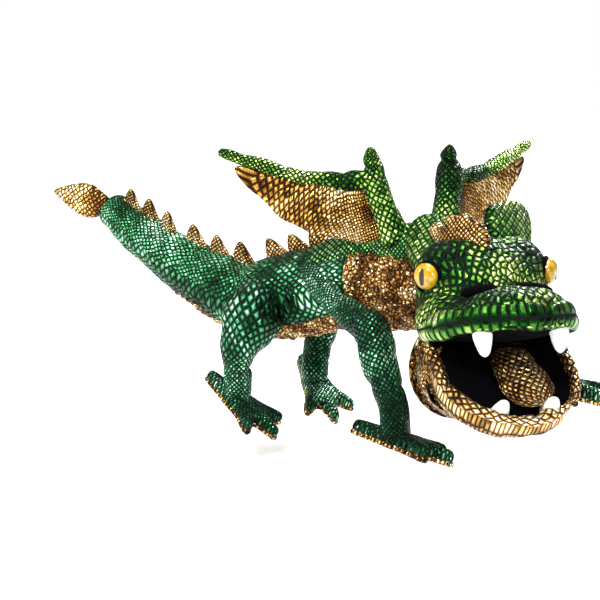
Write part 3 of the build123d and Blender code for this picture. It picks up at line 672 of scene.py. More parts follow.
GOLD_GROUND = "#0a0502"
GREEN, GOLD, BLACK = "green_foil_plush", "gold_foil_plush", "black_lining"  # the record's finishes
CLOTH = {}


def toned(shade_to_glint_foils, tone):
    """Foil colours with their middle one replaced."""
    return [(place, tone if index == 2 else colour) for index, (place, colour) in enumerate(shade_to_glint_foils)]


def make_cloths(settings):
    """All the finishes of the puppet."""
    green, leg = toned(GREEN_PAINTED_LIGHT_FOILS, settings.green), toned(LEG_PAINTED_LIGHT_FOILS, settings.leg)
    tail, gold = toned(TAIL_PAINTED_LIGHT_FOILS, settings.tail), toned(GOLD_PAINTED_LIGHT_FOILS, settings.gold)
    # Foil-printed plush, hot-pressed: each scale glints by itself between dark matt lanes of pile, with
    # painted shade at its rim and a painted highlight in its middle
    CLOTH["green_scales"] = foil_plush("green_foil_scales", green, GREEN_GROUND, scatter=0.35, drift=0.3)
    CLOTH["green_tail"] = foil_plush("green_foil_tail", tail, GREEN_GROUND, scatter=0.4, drift=0.3,
                                    lane=0.06)
    CLOTH["green_leg"] = foil_plush("green_foil_leg", leg, GREEN_GROUND, scatter=0.3, lane=0.07,
                                    drift=0.25, drift_mm=45)
    CLOTH["green_neck"] = foil_plush("green_foil_neck", NECK_PAINTED_LIGHT_FOILS, GREEN_GROUND, scatter=0.15, lane=0.09,
                                     drift=0.15)
    CLOTH["green_head"] = foil_plush("green_foil_head", green, GREEN_GROUND, scatter=0.7, lane=0.06,
                                     drift=0.35, drift_mm=38)
    CLOTH["green_fan"] = foil_plush("green_foil_fan", LIP_PAINTED_LIGHT_FOILS, GREEN_GROUND, scatter=0.2, lane=0.05,
                                    drift=0.2, drift_mm=30)
    CLOTH["green_lip"] = foil_plush("green_foil_lip", LIP_PAINTED_LIGHT_FOILS, GREEN_GROUND, scatter=0.12, lane=0.04,
                                    staggered=False, drift=0.35, drift_mm=50)
    # The same plush in gold: broad scales, long ones, pale dots, and a fine crush that glitters, all with the
    # same painted rim shade and painted highlights
    CLOTH["gold_scales"] = foil_plush("gold_foil_scales", gold, GOLD_GROUND, scatter=0.45,
                                      drift=0.3, drift_mm=40)
    CLOTH["gold_long"] = foil_plush("gold_foil_long", gold, GOLD_GROUND, scatter=0.35, lane=0.05,
                                    staggered=False, drift=0.3, drift_mm=40)
    CLOTH["gold_dots"] = foil_plush("gold_foil_dots", PALE_PAINTED_LIGHT_FOILS, GOLD_GROUND, scatter=0.3, lane=0.07,
                                    drift=0.25, drift_mm=25)
    CLOTH["gold_fine"] = foil_plush("gold_foil_fine", FINE_PAINTED_LIGHT_FOILS, GOLD_GROUND, on_surface=False,
                                    cell_mm=3.2, scatter=0.9, lane=0.04, drift=0.3, drift_mm=16,
                                    sparkle=1.4)
    # Brushed knit lining: deep black that gives almost nothing back
    CLOTH["lining"] = knit("black_knit_lining", "#010102", settings.lining)
    # Pressed wool felt: soft white with shallow fuzz
    CLOTH["felt"] = knit("white_wool_felt", "#cfcac4", settings.felt, 1.2)
    # Spun polyester thread: dull black twist
    CLOTH["thread"] = knit("black_polyester_thread", "#0a0a0c", "#1c1c20", 0.4)
    # Moulded acrylic eyes: clear hard gloss over even colour; the pupils are duller
    CLOTH["eye"] = gloss("yellow_acrylic_eye", settings.eye, "#96700a")
    CLOTH["pupil"] = gloss("black_acrylic_pupil", "#050505", "#000000", 0.3, 0.0)
    # Moulded nylon washers: white with a satin surface
    CLOTH["washer"] = gloss("white_nylon_washer", settings.washer, "#d8d8d2", 0.4)
    # Pressed fibre stiffener: flat black board
    CLOTH["board"] = knit("black_stiffener_board", "#08080a", "#101013", 2.0)


# Body, tail and spikes --------------------------------------------------------------------------


def flank(degrees):
    """Fewer, taller scales in a band along each side."""
    side = np.minimum(np.abs((degrees + 12 + 180) % 360 - 180), np.abs((degrees - 192 + 180) % 360 - 180))
    return 1 - 0.68 * (1 - eased(side, 9, 16))


def creased(points, degrees, length, centres):
    """Stuffed cloth: soft lumps, and tucks across it where the filling has parted."""
    out = unit(points - centres[:, None, :])
    push = 1.3 * lumps(points, 40, 3) + 0.6 * lumps(points, 15, 5)
    tuck = np.sin(length[:, None] / 15 + 1.5 * lumps(points, 60, 6)) ** 12
    push = push - 2.2 * tuck * np.clip(lumps(points, 45, 7) + 0.6, 0, 1)
    return points + out * push[..., None]


def gathered(points, degrees, length, centres):
    """Cloth drawn up on its seams: crosswise puckers that break up towards the middle."""
    out = unit(points - centres[:, None, :])
    wave = np.sin(length[:, None] * 0.75 + 2.6 * lumps(points, 34, 8))
    push = 1.3 * wave + 0.9 * lumps(points, 13, 9) + 0.25 * lumps(points, 6, 10)
    return points + out * push[..., None]


NECK_ROLL = [(16, -2, 86, 19), (-4, -9, 97, 21), (-32, -24, 99, 20), (-64, -40, 93, 19),
             (-94, -56, 83, 22), (-120, -70, 68, 28)]
THROAT = [(12, 0, 72, 26), (-8, -4, 73, 31), (-34, -15, 68, 35), (-62, -30, 65, 37.5), (-86, -45, 62, 37.5)]


def make_body(settings):
    """Neck, trunk and tail skins in green, with the gold throat, belly and tail strip."""
    trunk = dict(start=3.0, end=8.5, along=200)
    tail = dict(start=8.45, end=11.0, along=90)
    body = {}
    body["neck_roll"] = stuffed_tube("neck_roll", NECK_ROLL, CLOTH["green_neck"], around=70, along=110,
                                     cells=28, shape=creased)
    body["throat"] = stuffed_tube("throat_gathers", THROAT, CLOTH["gold_fine"], around=150, along=120,
                                  cells=44, shape=gathered)
    body["trunk_back"] = stuffed_tube("trunk_back", SPINE, CLOTH["green_tail"], angles=(-42, 222),
                                      around=120, cells=36, aspect=1.25, density=flank, shape=creased,
                                      **trunk)
    body["belly"] = stuffed_tube("belly_gathers", SPINE, CLOTH["gold_fine"], angles=(220, 320),
                                 around=60, cells=36, shape=gathered, **trunk)
    body["tail_back"] = stuffed_tube("tail_back", SPINE, CLOTH["green_tail"], angles=(-58, 238),
                                     around=110, cells=29, aspect=1.25, density=flank, shape=creased,
                                     round_end=8, **tail)
    body["tail_strip"] = stuffed_tube("tail_strip", SPINE, CLOTH["gold_dots"], angles=(236, 304),
                                      around=24, cells=34, shape=creased, round_end=8, **tail)
    for key in ("neck_roll", "throat"):
        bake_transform(body[key])
    for key in ("trunk_back", "belly"):
        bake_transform(body[key])
    for key in ("tail_back", "tail_strip"):
        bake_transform(body[key])
    for key, finish, nodes in (
            ("neck_roll", GREEN, ["neck_back_panel"]), ("throat", GOLD, ["neck_throat_panel"]),
            ("trunk_back", GREEN, ["torso_back_panel", "torso_stuffing", "tail_skin", "tail_stuffing"]),
            ("belly", GOLD, ["belly_panel", "tail_underside"]),
            ("tail_back", GREEN, ["tail_end_skin", "tail_end_stuffing"]),
            ("tail_strip", GOLD, ["tail_end_underside"])):
        sewn_on(body[key], None, finish, 0.8, *nodes)
    for hand, strap in (("right", [(-128, -92, 82, 8), (-112, -90, 72, 10), (-92, -86, 60, 11),
                                   (-66, -82, 50, 11), (-38, -74, 42, 12), (-20, -68, 34, 12)]),
                        ("left", [(-138, -34, 84, 8), (-112, -12, 78, 10), (-84, 10, 70, 11),
                                  (-60, 30, 60, 12), (-40, 42, 50, 12)])):
        strap = [(x, y, z, r * settings.strap) for x, y, z, r in strap]
        piece = stuffed_tube(f"{hand}_shoulder_strap", strap, CLOTH["green_leg"], around=50, along=80,
                             round_start=8, round_end=6, cells=17, shape=creased)
        sewn_on(piece, "torso", GREEN, 0.8)


def make_spikes(settings):
    """Padded fins set along the spine, a row for each part of the body."""
    rows = (("torso", "back_spikes", 2.25, 5.9, settings.back_spikes),
            ("tail", "tail_spikes", 7.35, 8.55, settings.tail_spikes),
            ("tail_end", "tail_end_spikes", 9.3, 10.4, settings.tail_spikes))
    for seed, (body, node, first, last, count) in enumerate(rows, start=3):
        spine = curve_through(SPINE, first, last, 60)
        up = frames_along(spine[:, :3], UP)[2]
        tall = settings.spike_height / MM / 17
        fin = rounded([(-13, -4), (13, -4), (14, 8 * tall), (11, 17 * tall), (7, 17 * tall), (-4, 8 * tall),
                       (-12, 1)], 2)
        item = pad_from_outline(f"{node}_item", fin, np.zeros(3), (1, 0, 0), (0, 0, 1),
                                settings.spike_thick / MM, CLOTH["gold_dots"], cell=4.4, edge=3.0,
                                spacing=1.1)
        row = repeated(f"{node}_padded", item, spine[:, :3] + up * (spine[:, 3:] - 1), up,
                       0.62 + 0.38 * np.minimum(spine[:, 3] / 35, 1), count, settings.spike_spread, seed,
                       CLOTH["gold_dots"])
        sewn_on(row, body, GOLD, 0.8, node)


def make_leaf(settings):
    """Padded leaf at the end of the tail."""
    low = np.array(SPINE[-1][:3], float)
    way = unit(np.array([-56.0, -58.0, 17.0]))
    leaf = rounded([(-4, -7), (8, -12), (20, -17), (34, -15), (50, -8), (66, 0), (50, 8), (34, 15),
                    (20, 17), (8, 12), (-4, 7)], 2)
    tip = pad_from_outline("tail_leaf", leaf, low, way, np.cross(np.cross(way, UP), way),
                           settings.leaf_thick / MM, CLOTH["gold_scales"], cell=5.5, edge=9.0, spacing=2.0)
    sewn_on(filled(tip), "tail_end", GOLD, 0.7, "tail_tip")


# Legs and wings ---------------------------------------------------------------------------------

LEGS = {
    "right_front": ([(-26, -68, 50, 12), (-16, -69, 38, 15), (-2, -68, 20, 15), (12, -65, 0, 13.5),
                     (22, -63, -20, 12), (26, -62, -40, 12)], (66, -18), 12, 10),
    "left_front": ([(-50, 30, 66, 13), (-36, 46, 50, 16), (-14, 60, 30, 15.5), (2, 70, 14, 13.5),
                    (12, 76, -6, 13)], (52, 104), 8, 0),
    "right_hind": ([(-158, -116, 44, 20), (-146, -132, 30, 26), (-138, -144, 8, 18), (-138, -147, -8, 13),
                    (-138, -147, -24, 12), (-138, -148, -38, 12)], (-104, -122), 30, 0),
    "left_hind": ([(-186, -74, 44, 20), (-194, -60, 30, 24), (-198, -55, 10, 17), (-192, -60, -8, 13),
                   (-187, -64, -24, 12), (-186, -64, -38, 12)], (-150, -58), 30, 0),
}
FOOT = [(-16, -8), (-30, -5), (-38, -3), (-38, 3), (-30, 5), (-16, 8), (-4, 13), (12, 14), (27, 23),
        (34, 25), (36, 20), (25, 9), (40, 5), (49, 3), (49, -3), (40, -4), (25, -7), (36, -19), (34, -24),
        (27, -23), (12, -14), (-4, -12)]


def make_legs(settings):
    """Stuffed legs with webbed feet and gold soles."""
    for name, (stations, toe, drop, roll) in LEGS.items():
        ankle = np.array(stations[-1][:3], float)
        shaft = stuffed_tube(f"{name}_leg_padded", stations, CLOTH["green_leg"], around=60, along=90,
                             round_start=12, reference=np.array([0, 1.0, 0.2]), cells=19, shape=creased)
        ahead = unit(np.array([toe[0] - ankle[0], toe[1] - ankle[1], 0.0]))
        tip, side = math.radians(drop), math.radians(roll)
        way = ahead * math.cos(tip) - UP * math.sin(tip)
        level = np.cross(UP, ahead)
        upward = np.cross(way, level)
        left = level * math.cos(side) - upward * math.sin(side)
        upward = np.cross(way, left)
        below = ankle + np.array([0, 0, -3.0])
        outline = rounded(FOOT, 2)
        top = pad_from_outline(f"{name}_foot_padded", outline, below, way, left,
                               settings.foot_thick / MM, CLOTH["green_leg"], cell=3.7, edge=6.0,
                               spacing=1.6)
        filled(top, reach_mm=1.5)
        sole = pad_from_outline(f"{name}_sole_padded", outline * 1.02, below - upward * 4.5, way, left, 5,
                                CLOTH["gold_dots"], cell=4.2, edge=2.5, spacing=1.6)
        for piece, part, finish in ((shaft, "leg", GREEN), (top, "foot", GREEN), (sole, "sole", GOLD)):
            sewn_on(piece, f"{name}_leg", finish, 0.8, f"{name}_{part}")


AHEAD = unit(np.array([0.957, 0.293, 0.0]))
OUTWARD = unit(np.array([0.293, -0.957, 0.0]))
SHOULDERS = np.array([-20.0, -10.0, 0.0])
WING_ROOT = (-28.4, 26.1, 105)
WING_TURN = {1: 0.0, -1: 19.0}


def wing_point(side, ahead, out, height):
    """Point of a wing given ahead of, out from and above the middle of the shoulders."""
    root = SHOULDERS + AHEAD * WING_ROOT[0] + OUTWARD * side * WING_ROOT[1]
    reach = AHEAD * (ahead - WING_ROOT[0]) + OUTWARD * side * (out - WING_ROOT[1])
    turn = math.radians(-WING_TURN[side])
    swung = np.array([reach[0] * math.cos(turn) - reach[1] * math.sin(turn),
                      reach[0] * math.sin(turn) + reach[1] * math.cos(turn), 0.0])
    return root + swung + UP * height


def wing_scales(flat):
    """Small scales near the shoulder that grow, and lengthen across the wing, towards the tip."""
    out = np.clip(flat[..., 0] / 120, 0, 1)
    tall = 3.4 + 6.5 * eased(out, 0.25, 0.6)
    return np.stack([30 * (1 - (1 - out) ** 1.35), flat[..., 1] / tall], axis=-1)


def make_wings(settings):
    """Stuffed wing arms and leading edges with padded membranes."""
    for side, hand in ((1, "right"), (-1, "left")):
        bones = [(-26, 22, 100, 12), (-31, 27, 118, 11.5), (-38, 32, 138, 11), (-43, 35, 156, 10),
                 (-46, 36, 168, 7), (-46, 36, 179, 3.5)]
        edge = [(-40, 33, 150, 9), (-50, 44, 152, 9), (-59.4, 56.5, 150, 8), (-79.2, 82.2, 154, 7),
                (-100, 112, 165, 6), (-117.6, 136, 175, 4.5)]
        arm_path = [(*wing_point(side, a, o, h), r) for a, o, h, r in bones]
        edge_path = [(*wing_point(side, a, o, h), r) for a, o, h, r in edge]
        level = np.array([AHEAD[0], AHEAD[1], 0.15])
        arm = stuffed_tube(f"{hand}_wing_arm_padded", arm_path, CLOTH["green_scales"], around=44, along=60,
                           round_start=6, round_end=12, reference=level, cells=12, shape=creased)
        rim = stuffed_tube(f"{hand}_wing_edge_padded", edge_path, CLOTH["green_scales"], around=40,
                           along=90, round_start=8, round_end=10, reference=UP, cells=9, shape=creased)
        corners = [(-30, 30, 108), (-40, 34, 150), (-59.4, 56.5, 148), (-79.2, 82.2, 152), (-112, 130, 168),
                   (-106, 118, 146), (-96, 104, 134), (-90, 96, 120), (-80, 84, 114), (-70, 72, 104),
                   (-58, 58, 104), (-46, 44, 99)]
        spots = np.array([wing_point(side, *corner) for corner in corners])
        origin = spots[0]
        across = spots[4] - spots[0]
        normal = unit(np.cross(across, spots[1] - spots[0]))
        across = unit(across)
        upward = np.cross(normal, across)
        flat = np.stack([(spots - origin) @ across, (spots - origin) @ upward], axis=1)
        sheet = pad_from_outline(f"{hand}_wing_membrane_padded", rounded(flat, 2), origin, across, upward,
                                 settings.wing_thick / MM, CLOTH["gold_scales"], edge=4.0, spacing=2.0,
                                 warp=wing_scales)
        filled(sheet, reach_mm=1.5)
        for piece, part, finish in ((arm, "arm", GREEN), (rim, "edge", GREEN), (sheet, "membrane", GOLD)):
            sewn_on(piece, f"{hand}_wing", finish, 0.7, f"{hand}_wing_{part}")


# Head -------------------------------------------------------------------------------------------

HEAD_CENTRE = np.array([-6.0, 0.0, 16.0])


def ellipsoid(points, centre, radii):
    """Approximate distance outside an ellipsoid."""
    away = points - np.array(centre, float)
    near = np.linalg.norm(away / radii, axis=-1)
    slope = np.linalg.norm(away / np.square(radii), axis=-1)
    return near * (near - 1) / np.maximum(slope, 1e-6)


def merged(a, b, soft):
    """Smooth union of two distances."""
    h = np.clip(0.5 + 0.5 * (b - a) / soft, 0, 1)
    return b * (1 - h) + a * h - soft * h * (1 - h)


def head_distance(points):
    """Snout, skull, brows, cheeks and nostril creases in the head's tipped frame."""
    d = ellipsoid(points, (-24, 0, 38), np.array([44.0, 52.0, 49.0]))
    d = merged(d, ellipsoid(points, (8, 0, 16), np.array([56.0, 57.0, 26.0])), 12)
    d = merged(d, ellipsoid(points, (34, 0, 29), np.array([27.0, 38.0, 15.0])), 9)
    for side in (-1, 1):
        d = merged(d, ellipsoid(points, (-21, side * 30, 60), np.array([23.0, 21.0, 24.0])), 9)
        d = merged(d, ellipsoid(points, (-4, side * 46, 24), np.array([22.0, 14.0, 16.0])), 9)
    for side in (-1, 1):
        slot = ellipsoid(points, NOSTRIL * (1, side, 1), np.array([10.0, 17.0, 9.0]))
        d = -merged(-d, slot, 4)
    return d


NOSTRIL = np.array([27.0, 22.0, 46.0])


def sleeve_half(x):
    """Half width and half height of the sleeve at a distance from the cuff."""
    share = eased(x, 26, 54)
    return 38 + 10.5 * share, 38 - 7.5 * share


def head_grid(around=230, rings=120):
    """Head skin cast out from the middle of the head onto its shape, opened for the sleeve."""
    turn = np.radians(np.linspace(0, 360, around + 1)[:-1])
    low = -3 - 19 * eased(np.abs((np.degrees(turn) + 180) % 360 - 180), 60, 120)
    share = np.linspace(0, 1, rings)[:, None]
    rise = np.radians(89.5 + (low[None, :] - 89.5) * share)
    way = np.stack([np.cos(rise) * np.cos(turn), np.cos(rise) * np.sin(turn), np.sin(rise)], axis=-1)
    near, far = np.zeros(way.shape[:2]), np.full(way.shape[:2], 130.0)
    for _ in range(22):
        middle = (near + far) / 2
        inside = head_distance(HEAD_CENTRE + way * middle[..., None]) < 0
        near = np.where(inside, middle, near)
        far = np.where(inside, far, middle)
    points = HEAD_CENTRE + way * near[..., None]
    push = 0.9 * lumps(points, 26, 21) + 0.45 * lumps(points, 11, 22)
    points = placed(points + way * push[..., None], HEAD)
    wide, tall = sleeve_half(points[..., 0])
    inside = np.hypot(points[..., 1] / (wide + 2), (points[..., 2] - 8) / (tall + 2))
    grow = np.where((points[..., 0] < 60) & (inside < 1), 1 / np.maximum(inside, 0.1), 1.0)
    points[..., 1] *= grow
    points[..., 2] = 8 + (points[..., 2] - 8) * grow
    scales = radiating(np.concatenate([way, way[:, :1]], axis=1), 58 / 7.6)
    return points, scales


def radiating(way, cells):
    """Map of scales that spread from the forehead and lengthen towards the cheeks and muzzle."""
    brow = unit(np.array([0.35, 0.0, 0.94]))
    ahead = unit(np.cross((0, 1.0, 0), brow))
    swing = np.arccos(np.clip(way @ brow, -1, 1))
    across, along = way[..., 1], way @ ahead
    size = np.maximum(np.hypot(across, along), 1e-6)
    return np.stack([across / size, along / size], axis=-1) * (swing * cells)[..., None]


def half_disc(x_centre, radius, back, count=80):
    """Mouth outline from one corner round the front to the other, in plan."""
    turn = np.linspace(-math.pi / 2, math.pi / 2, count)
    arc = np.stack([x_centre + radius * np.cos(turn), radius * np.sin(turn)], axis=1)
    steps = np.linspace(back, x_centre, 12, endpoint=False)
    right = np.stack([steps, np.full(12, -radius)], axis=1)
    left = np.stack([steps[::-1], np.full(12, radius)], axis=1)
    return np.vstack([right, arc, left])


def lip_path(x_centre, radius, back, height, rows, fat, rise=0.0):
    """Stations along a lip, in the puppet's own frame; rise lifts its front."""
    outline = half_disc(x_centre, radius, back, 60)
    lift = height + rise * eased(outline[:, 0], x_centre, x_centre + radius)
    spots = placed(np.column_stack([outline, lift]), rows)
    return np.column_stack([spots, np.full(len(spots), fat)])


def rolled_ring(name, centre, normal, radius, fat, material, around=64, across=14, cells=24):
    """Rolled cloth ring."""
    normal = unit(normal)
    side = unit(np.cross(normal, (0.3, 0.2, 0.9)))
    other = np.cross(normal, side)
    turn = np.linspace(0, 2 * math.pi, around + 1)[:, None, None]
    roll = np.linspace(0, 2 * math.pi, across + 1)[None, :-1, None]
    out = np.cos(turn) * side + np.sin(turn) * other
    points = centre + out * (radius + fat * np.cos(roll)) + normal * (fat * np.sin(roll))
    u = np.linspace(0, max(2, round(cells * fat / radius)), across + 1)
    v = np.linspace(0, cells, around + 1)
    uv = np.stack(np.broadcast_arrays(u[None, :], v[:, None]), axis=-1)
    return grid_piece(name, points, uv, True, material)


def eye_way(side):
    """Direction in which an eye looks, in the head's frame."""
    turn, dip = math.radians(55), math.radians(8)
    return np.array([math.cos(turn) * math.cos(dip), side * math.sin(turn) * math.cos(dip), -math.sin(dip)])


def lens(name, centre, rows, sizes, material):
    """Squashed ball with half sizes along its own rows, in mm."""
    turn = np.linspace(0, 2 * math.pi, 49)[:-1]
    rise = np.linspace(-math.pi / 2, math.pi / 2, 25)[:, None]
    ball = np.stack([np.cos(rise) * np.cos(turn), np.cos(rise) * np.sin(turn),
                     np.sin(rise) * np.ones_like(turn)], axis=-1)
    return grid_piece(name, centre + (ball * sizes) @ rows, None, True, material)


def make_head(settings):
    """Upper head: stuffed skin and its padded lip."""
    points, scales = head_grid()
    skin = grid_piece("head_skin_padded", points, scales, True, CLOTH["green_head"])
    path = lip_path(SNOUT_X, 54.5, -14, 18, HEAD, settings.upper_lip / MM, rise=3.0)
    lip = stuffed_tube("upper_lip_padded", path, CLOTH["green_lip"], angles=(-45, 315), around=44, along=220,
                       round_start=10, round_end=10, reference=HEAD[2], cells=4, aspect=0.56, flatten=1.5,
                       shape=creased)
    sewn_on(skin, "head", GREEN, 0.8, "head_skin", "head_stuffing")
    sewn_on(lip, "head", GREEN, 0.8)


def make_crest(settings):
    """Gold crest and green ears on top of the head."""
    crest = rounded([(-60, 66), (-64, 92), (-56, 104), (-46, 96), (-38, 108), (-27, 102), (-20, 106),
                     (-10, 96), (-4, 96), (2, 88), (4, 78), (2, 64), (-20, 60)], 2)
    slant = math.radians(20)
    along = HEAD[0] * math.cos(slant) + HEAD[1] * math.sin(slant)
    fin = pad_from_outline("head_crest_padded", crest, placed((0, -4, 0), HEAD), along, HEAD[2],
                           settings.crest_thick / MM, CLOTH["gold_dots"], cell=4.4, edge=5.0, spacing=1.5)
    sewn_on(filled(fin), "head", GOLD, 0.8, "head_crest")
    fan = rounded([(-12, -10), (8, -10), (22, 8), (28, 24), (26, 38), (14, 42), (0, 38), (-14, 34),
                   (-20, 20), (-16, 4)], 2) * 1.15
    for hand, root, ahead, rise in (
            ("left", (-28, 28, 72), (-0.45, 0.85, -0.1), (-0.35, 0.1, 0.93)),
            ("right", (-46, -34, 72), (-0.75, -0.55, 0.1), (-0.72, 0.1, 0.62))):
        ear = pad_from_outline(f"{hand}_ear_padded", fan, placed(root, HEAD), np.array(ahead) @ HEAD,
                               np.array(rise) @ HEAD, settings.ear_thick / MM, CLOTH["green_fan"],
                               cell=6.5, edge=6.0, spacing=1.8)
        sewn_on(filled(ear), "head", GREEN, 0.7, f"{hand}_ear")


def make_face(settings):
    """Eyes with their cloth rings, and the dark nostril slots."""
    for side, hand in ((-1, "right"), (1, "left")):
        place = np.array([-10.5, side * 46.8, 55.8])
        # The ring round each eye is given the dark lining rather than leg-green cloth, so a dark band shows
        # round the eye
        ring = rolled_ring(f"{hand}_eye_surround", placed(place + eye_way(side) * 0.8, HEAD),
                           eye_way(side) @ HEAD, settings.eye_ring / MM, 1.9, CLOTH["lining"], cells=18)
        sewn_on(ring, "head", BLACK, 0.9)
        out = unit(np.array([0.62, side * 0.1, 0.78]))
        length = np.array([-0.25, side * 0.9, -0.5])
        length = unit(length - out * (length @ out))
        rows = np.array([length, np.cross(out, length), out]) @ HEAD
        dark = lens(f"{hand}_nostril_slot", placed(NOSTRIL * (1, side, 1) + (-2, 0, -3.6), HEAD), rows,
                    np.array([15.0, 5.2, 4.0]), CLOTH["lining"])
        sewn_on(dark, "head", BLACK, 0.3, f"{hand}_nostril")
    for name, cloth in (("right_eye", "eye"), ("left_eye", "eye"), ("right_pupil", "pupil"),
                        ("left_pupil", "pupil"), ("eye_washers", "washer")):
        colour_node(name, cloth)


def plan_sheet(name, outline, height, rows, material, sag=0.0, count=26):
    """Mouth lining: a skin over the outline that dips in the middle."""
    outline = np.array(outline)
    middle = np.array([outline[:, 0].mean() * 0.6, 0.0])
    shares = np.linspace(1, 0.0, count)
    flat = middle + shares[:, None, None] * (outline - middle)
    depth = sag * (1 - shares[:, None] ** 2) * np.ones(len(outline))
    local = np.concatenate([flat, (height + depth)[..., None]], axis=-1)
    points = placed(local, rows)
    return grid_piece(name, points, None, True, material)


def declare_sheet(outline):
    """Turn an outline in mm into metres, and keep nothing."""
    outline = np.array(outline) * MM


def make_mouth():
    """Black lining of both jaws and the folded web between them."""
    above, below = half_disc(SNOUT_X, 53, -14), half_disc(JAW_X - 2, 49, -2)
    roof = plan_sheet("upper_lining_skin", above, 11.0, HEAD, CLOTH["lining"], -7.0)
    floor = plan_sheet("lower_lining_skin", below, -2.6, JAW, CLOTH["lining"], 0.4)
    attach(roof, "head")
    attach(floor, "jaw")
    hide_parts("upper_mouth_lining", "upper_mouth_board")
    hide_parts("lower_mouth_lining")
    declare_sheet(above)
    declare_sheet(below)
    turn = np.linspace(-1, 1, 60)
    upper = placed(np.column_stack([-12 * np.ones(60), 47 * turn, 12 * np.ones(60)]), HEAD)
    lower = placed(np.column_stack([-4 * np.ones(60), 45 * turn, -5 * np.ones(60)]), JAW)
    shares = np.linspace(0, 1, 24)[:, None, None]
    web = upper * (1 - shares) + lower * shares
    web = web - np.array([10.0, 0, 0]) * (np.sin(shares * math.pi)) * (1 - turn[None, :, None] ** 4)
    back = grid_piece("mouth_fold", web, None, False, CLOTH["lining"])
    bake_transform(back)
    colour_node("lower_mouth_board", "board")


def make_tongue(settings):
    """Stuffed tongue."""
    path = [(*placed(place, JAW), share * settings.tongue / MM) for place, share in (
        ((4, 2, 2), 0.75), ((18, 4, 5), 0.95), ((34, 7, 5), 1.05), ((50, 10, 5), 1.0), ((64, 14, 7), 0.7))]
    tongue = stuffed_tube("tongue_padded", path, CLOTH["gold_dots"], around=50, along=60, round_start=12,
                          round_end=12, reference=JAW[2], cells=20, flatten=0.36, shape=creased)
    sewn_on(tongue, "jaw", GOLD, 0.7, "tongue")


TOOTH = ((-3, 7.0), (2, 7.4), (8, 6.2), (13.5, 4.4), (17.5, 2.8))  # height and half width, root to tip


def make_teeth(settings):
    """Four teeth of wool felt."""
    wide = settings.tooth / MM / TOOTH[1][1]
    for rows, body, level, (x, y), base_z, point in ((HEAD, "head", "upper", (46, 30), 11.0, -1),
                                                     (JAW, "jaw", "lower", (64, 20), -2.0, 1)):
        for side, hand in ((-1, "right"), (1, "left")):
            base = np.array([x, side * y, base_z])
            lean = np.array([0.10, -0.04 * side, point])
            path = [(*placed(base + lean * s, rows), r * wide) for s, r in TOOTH]
            tooth = stuffed_tube(f"{level}_{hand}_tooth_felt", path, CLOTH["felt"], around=28, along=30,
                                 round_start=3, round_end=3.5, reference=rows[0], flatten=0.8)
            sewn_on(tooth, body, "tooth_felt", 0.9, f"{level}_{hand}_tooth")


def make_jaw(settings):
    """Lower jaw: domed gold underside, the dotted rolled lip and the cloth back to the sleeve."""
    outline = half_disc(JAW_X - 1, 54, -8, 90)
    middle = np.array([20.0, 0.0])
    shares = np.linspace(0, 1, 50)
    flat = middle + np.sin(shares * math.pi / 2)[:, None, None] ** 0.8 * (outline - middle)
    lift = 5 * eased(flat[..., 0], JAW_X, JAW_X + 54)
    drop = -4 - 33 * np.cos(shares * math.pi / 2)[:, None] ** 0.62 + lift
    local = np.concatenate([flat, drop[..., None]], axis=-1)
    points = placed(local, JAW)
    out = normals_of(points)
    points = points + out * (1.3 * lumps(points, 20, 31))[..., None]
    uv_u = np.linspace(0, 62, len(outline) + 1)
    uv = np.stack(np.broadcast_arrays(uv_u[None, :], (shares * 5.5)[:, None]), axis=-1)
    bowl = grid_piece("jaw_skin_padded", points, uv, True, CLOTH["gold_long"])
    path = lip_path(JAW_X - 1, 51.8, -9, -2, JAW, settings.lower_lip / MM, rise=5.0)
    lip = stuffed_tube("lower_lip_padded", path, CLOTH["gold_dots"], around=36, along=200, round_start=5,
                       round_end=5, reference=JAW[2], cells=5, shape=creased)
    sewn_on(bowl, "jaw", GOLD, 0.8, "jaw_skin", "jaw_stuffing")
    sewn_on(lip, "jaw", GOLD, 0.8)
    turn = np.radians(np.linspace(150, 390, 90))
    wide, tall = sleeve_half(52)
    start = np.column_stack([np.full(90, 48.0), (wide + 1) * np.cos(turn), 8 + (tall + 1) * np.sin(turn)])
    end = placed(np.column_stack([np.full(90, 6.0), 54.5 * np.cos(turn), -3 + 26 * np.sin(turn)]), JAW)
    share = np.linspace(0, 1, 40)[:, None, None]
    cloth = start * (1 - share) + end * share
    cloth = cloth + normals_of(cloth) * (1.2 * np.sin(share * 14) + 0.8 * lumps(cloth, 14, 35)[..., None])
    cells = np.stack(np.broadcast_arrays(np.linspace(0, 30, 90)[None, :], np.linspace(0, 8, 40)[:, None]),
                     axis=-1)
    gusset = grid_piece("chin_gusset", cloth, cells, False, CLOTH["gold_fine"])
    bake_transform(gusset)
    sewn_on(gusset, None, GOLD, 0.2)


def colour_node(name, cloth):
    """Give a carried-over node its finish."""
    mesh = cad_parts[name].data
    mesh.materials.clear()
    mesh.materials.append(CLOTH[cloth])


def cloth_tube(name, inset, material, puckers):
    """Sleeve cloth from the cuff to the head, gathered a little at the cuff."""
    x = np.linspace(2, 58, 60)[:, None]
    turn = np.linspace(0, 2 * math.pi, 161)[None, :-1]
    wide, tall = sleeve_half(x)
    wave = puckers * (np.sin(turn * 34 + 3 * np.sin(turn * 5)) * (1 - eased(x, 4, 34)) + 0.6)
    points = np.stack(np.broadcast_arrays(x, (wide + inset + wave) * np.cos(turn),
                                          8 + (tall + inset + wave) * np.sin(turn)), axis=-1)
    points[..., 1:] += 0.4 * lumps(points, 18, 41)[..., None]
    piece = grid_piece(name, points, None, True, material)
    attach(piece, "head")
    return piece


